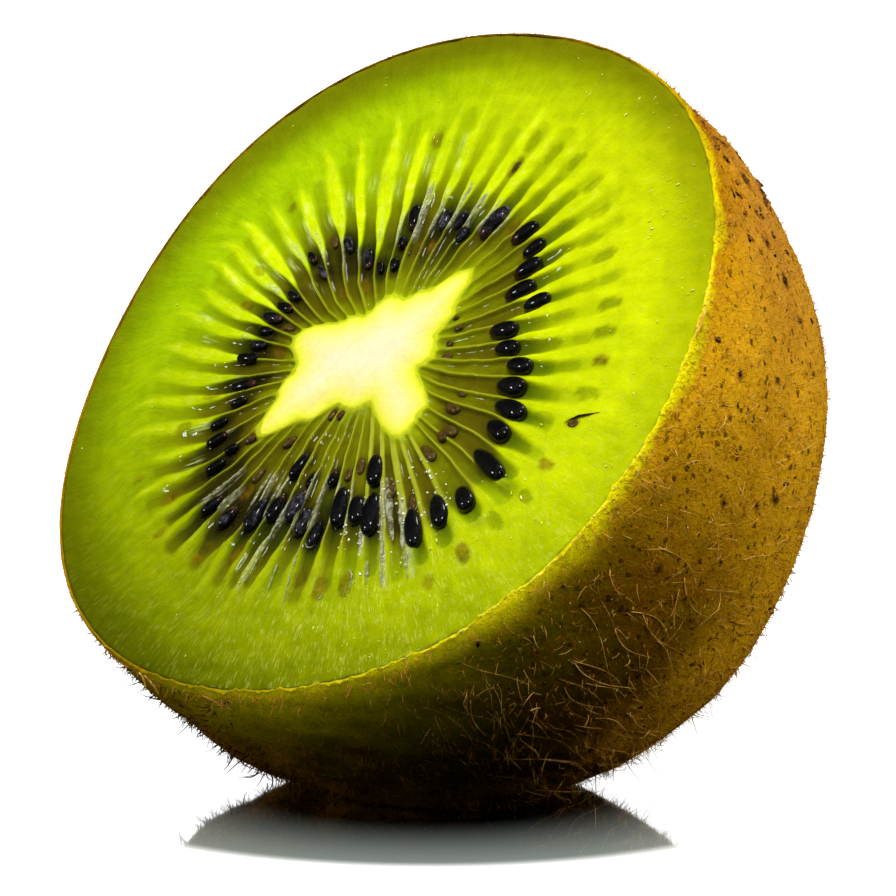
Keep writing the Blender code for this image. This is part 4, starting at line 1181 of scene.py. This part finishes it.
def lieDown(draw, way, depth, lengths, turns, lifts, thick):
    # a hair runs down over the skin at a turn from straight down, waves a little and rises as t^1.6
    count = len(way)
    t = np.linspace(0, 1, 9)[None, :]
    length = draw.uniform(*lengths, count)[:, None]
    turn = np.radians(draw.normal(*turns, count))[:, None]
    wave = 0.15 * length * np.sin(draw.uniform(0, 6, count)[:, None] + 3.0 * t)
    wide = 26.0 * bodyShare(np.minimum(depth, 30.0))[:, None]
    angle = np.radians(way)[:, None] + (length * np.sin(turn) * t + wave) / wide
    root, normal = skinNormal(angle, np.clip(depth[:, None] + length * np.cos(turn) * t, 0.3, 34.0))
    paths = root + normal * (0.03 + draw.uniform(*lifts, count)[:, None] * t ** 1.6)[..., None]
    return tubes(paths, thick * draw.uniform(0.7, 1.3, count)[:, None] * (1 - 0.7 * t))


def growth(draw, kind):  # one kind of hair, after its ways and depths are drawn
    grow, rows = (standUp, hair["standing"]) if kind in hair["standing"] else (lieDown, hair["lying"])
    count, ways, depths, *shape = rows[kind]
    way = draw.uniform(*ways, count)
    depth = draw.uniform(*depths, count) if depths else evenDepth(draw, count)
    return grow(draw, way, depth, *shape)


def hairLook(name, root, tip, shine):
    return plainLook(name, (1.5,), (0.35, 0.65), root, tip, 0.5, Specular_IOR_Level=shine)[0]


def makeHairs():
    draw = np.random.default_rng(41)
    for name, (kinds, *look) in hair["pieces"].items():
        points, faces = joined([growth(draw, kind) for kind in kinds])
        makePiece(name, hairLook(*look), points, faces)
    makeCrusts(draw)
    makeChips()


def makeCrusts(draw):
    # ragged lumps on the skin, some of them at the scabs: flat eggs, their points pushed about by ripples
    scabWays, scabDepths, scabSizes = np.transpose(skin["scabs"])
    few, fewWays, fewDepths, fewSizes = hair["patchCrusts"]
    many, manySizes = hair["allCrusts"]
    ways = np.concatenate([scabWays, draw.normal(*fewWays, few), draw.uniform(-180, 180, many)])
    depths = np.concatenate([scabDepths, draw.uniform(*fewDepths, few), evenDepth(draw, many, 0.9)])
    sizes = [hair["scabCrust"] * scabSizes, draw.uniform(*fewSizes, few), draw.uniform(*manySizes, many)]
    size = np.concatenate(sizes)[:, None]
    root, normal = skinNormal(np.radians(ways), depths)
    aside = unit(np.cross(normal, draw.normal(size=normal.shape)))
    axes = np.stack([2.2 * size * aside, 0.8 * size * np.cross(normal, aside), 0.55 * size * normal], 1)
    points, faces = eggs(7, 9, root, axes)
    points += np.stack([ripples(points, (0.06, 0.35, seed)) for seed in (71, 72, 73)], -1)
    look, grain = plainLook("crust", (3.0, 3.0), (0.4, 0.65), (44, 24, 8), (128, 84, 30), 0.6,
                            Specular_IOR_Level=0.2)
    makePiece("skinCrusts", look.finish(Normal=look.bump(grain, 0.1)), points, faces)


def makeChips():
    # slivers of peel along the rim that lift as t^2, thickest in the middle as sin(pi t)
    t = np.linspace(0, 1, 8)
    paths = []
    for way, depth, wayTo, depthTo, lift in hair["chips"]:
        depths = np.maximum(depth + (depthTo - depth) * t, 0.02)
        root, normal = skinNormal(np.radians(way + (wayTo - way) * t), depths)
        paths.append(root + normal * (0.08 + lift * t ** 2)[:, None])
    half = 0.10 * np.sin(math.pi * (0.15 + 0.8 * t))
    points, faces = tubes(np.array(paths), half + np.zeros((len(paths), 1)), 5, 0.5)
    makePiece("peelChips", hairLook("peel", (196, 130, 30), (244, 200, 96), 0.5), points, faces)


stagePlan = {
    "floorHalf": 3.0, "floorDrop": 0.0001, "floorWhite": 0.93, "floorGlow": 0.55,
    # polished patch under the fruit: its edge in mm, and the glow of the floor in it, a greenish grey that
    # fades to none near the fruit as painted shade
    "patchFrom": 25.0, "patchTo": 28.5, "patchGlow": (0.53, 0.60, 0.55), "glowFrom": 13.0, "glowTo": 31.0,
    "domeRadius": 2.6, "domeDrop": 0.002, "domeSides": 48, "domeRows": 16, "domeStrength": 1.2,
    "skySoft": 0.42, "skyFrom": 0.05, "skyTo": 0.85,
    # lights: where each stands, its strength, its width in degrees, its colour and whether gloss shows it
    "lights": {
        "aboveFront": ((0.15, -0.45, 0.88), 3.2, 45, (1.0, 1.0, 1.0), False),
        "rightBack": ((0.70, 0.50, 0.50), 2.1, 30, (1.0, 0.98, 0.93), False),
        "glintRight": ((0.25, -0.55, 0.80), 0.55, 8, (1.0, 1.0, 1.0), True),
        "glintLeft": ((-0.55, -0.75, 0.37), 0.35, 7, (1.0, 1.0, 1.0), True),
        "glintBack": ((0.05, 0.35, 0.93), 0.35, 12, (1.0, 1.0, 1.0), True),
        "fillLeft": ((-0.85, -0.50, -0.02), 0.9, 40, (1.0, 0.98, 0.95), False),
    },
    # camera, from the middle of the cut: degrees, metres and millimetres of lens
    "azimuth": 43.56, "elevation": 8.02, "distance": 0.3149, "right": 0.004785, "down": 0.006488,
    "lens": 186.72,
}


class Sky(Look):
    # the world's nodes, built like a look's
    def __init__(self, name):
        self.world = bpy.data.worlds.new(name)
        self.world.use_nodes = True
        self.tree = self.world.node_tree
        self.shader = self.tree.nodes["Background"]


def makeWorld():
    # white to the camera, soft light from above to the fruit, nothing in its gloss
    plan = stagePlan
    sky = Sky("studio")
    way = sky.node("ShaderNodeTexCoord", output="Generated")
    height = sky.node("ShaderNodeSeparateXYZ", None, {0: way}, "Z")
    camera = sky.node("ShaderNodeLightPath", output="Is Camera Ray")
    soft = height.step(plan["skyFrom"], plan["skyTo"]) * plan["skySoft"]
    sky.finish(Strength=camera + (1 - camera) * soft, Color=(1.0, 1.0, 1.0, 1.0))
    bpy.context.scene.world = sky.world
    sky.world.cycles_visibility.glossy = False


def makeFloor():
    # matt and white, with a polished patch under the fruit
    plan = stagePlan
    size, white = plan["floorHalf"], plan["floorWhite"]
    corners = [(x * size, y * size, -plan["floorDrop"]) for x, y in ((-1, -1), (1, -1), (1, 1), (-1, 1))]
    mesh = bpy.data.meshes.new("floor")
    mesh.from_pydata(corners, [], [(0, 1, 2, 3)])
    floor = addObject("floor", mesh)
    look = Look("whiteFloor", Specular_IOR_Level=0.0, Roughness=0.05, Emission_Strength=plan["floorGlow"])
    away = look.node("ShaderNodeVectorMath", {"operation": "LENGTH"}, {0: look.place()}, "Value")
    patch = away.step(plan["patchTo"], plan["patchFrom"])
    # painted shade: in the patch the glow is greenish grey, none near the fruit and full further out
    inPatch = look.scaled(plan["patchGlow"], away.step(plan["glowFrom"], plan["glowTo"]))
    glow = look.mix(patch, (1.0, 1.0, 1.0, 1.0), inPatch)
    look.finish(Base_Color=(white, white, white, 1.0), Metallic=patch, Emission_Color=glow)
    mesh.materials.append(look.material)
    floor.visible_diffuse = floor.visible_glossy = False
    return floor


def makeDome(floor):
    # a white dome that only the floor's polish sees: rings r cos(a) wide and r sin(a) high
    plan = stagePlan
    sides, rows, radius = plan["domeSides"], plan["domeRows"], plan["domeRadius"]
    turn = np.linspace(0, 2 * math.pi, sides, endpoint=False)
    rise = np.radians(np.linspace(0, 88, rows))[:, None]
    spots = polar(turn, radius * np.cos(rise), radius * np.sin(rise) - plan["domeDrop"])
    index = np.arange(rows * sides).reshape(rows, sides)
    faces = ringFaces(index)[:, ::-1].tolist() + [index[-1].tolist()]
    mesh = bpy.data.meshes.new("dome")
    mesh.from_pydata(spots.reshape(-1, 3).tolist(), [], faces)
    dome = addObject("dome", mesh)
    look = Look("domeLight")
    bright = look.node("ShaderNodeEmission", None, {"Strength": plan["domeStrength"]})
    clear = look.node("ShaderNodeBsdfTransparent")
    both = look.node("ShaderNodeAddShader", None, {0: bright, 1: clear})
    look.feed(look.tree.nodes["Material Output"].inputs["Surface"], both)
    look.material.cycles.emission_sampling = "NONE"
    mesh.materials.append(look.material)
    dome.visible_camera = dome.visible_diffuse = dome.visible_shadow = dome.visible_transmission = False
    floorOnly = bpy.data.collections.new("floorOnly")
    floorOnly.objects.link(floor)
    dome.light_linking.receiver_collection = floorOnly


def makeLights():
    for name, (toward, strength, width, colour, shines) in stagePlan["lights"].items():
        light = bpy.data.lights.new(name, "SUN")
        light.energy, light.angle, light.color = strength, math.radians(width), colour
        lamp = addObject(name, light)
        lamp.rotation_euler = Vector(toward).to_track_quat("Z", "Y").to_euler()
        lamp.visible_glossy = shines


def makeCamera():
    # it looks along back, and stands a little to the right of the middle of the cut and below it
    plan = stagePlan
    a, e = math.radians(plan["azimuth"]), math.radians(plan["elevation"])
    back = Vector((math.sin(a) * math.cos(e), -math.cos(a) * math.cos(e), math.sin(e)))
    right = Vector((math.cos(a), math.sin(a), 0))
    up = back.cross(right)
    camera = addObject("camera", bpy.data.cameras.new("camera"))
    camera.data.lens, camera.data.sensor_width = plan["lens"], 36.0
    camera.data.clip_start, camera.data.clip_end = 0.01, 20.0
    middle = Vector(fruit["cutCentre"]) * 0.001
    camera.location = middle + back * plan["distance"] + right * plan["right"] - up * plan["down"]
    camera.rotation_euler = back.to_track_quat("Z", "Y").to_euler()
    bpy.context.scene.camera = camera
    bpy.context.scene.view_settings.view_transform = "Standard"


makeFlesh()
makeCore()
makeSeeds()
makeTrimmings()
makeSkin()
makeHairs()
print("pieces made")
makeDome(makeFloor())
makeWorld()
makeLights()
makeCamera()
print("stage, lights and camera set")
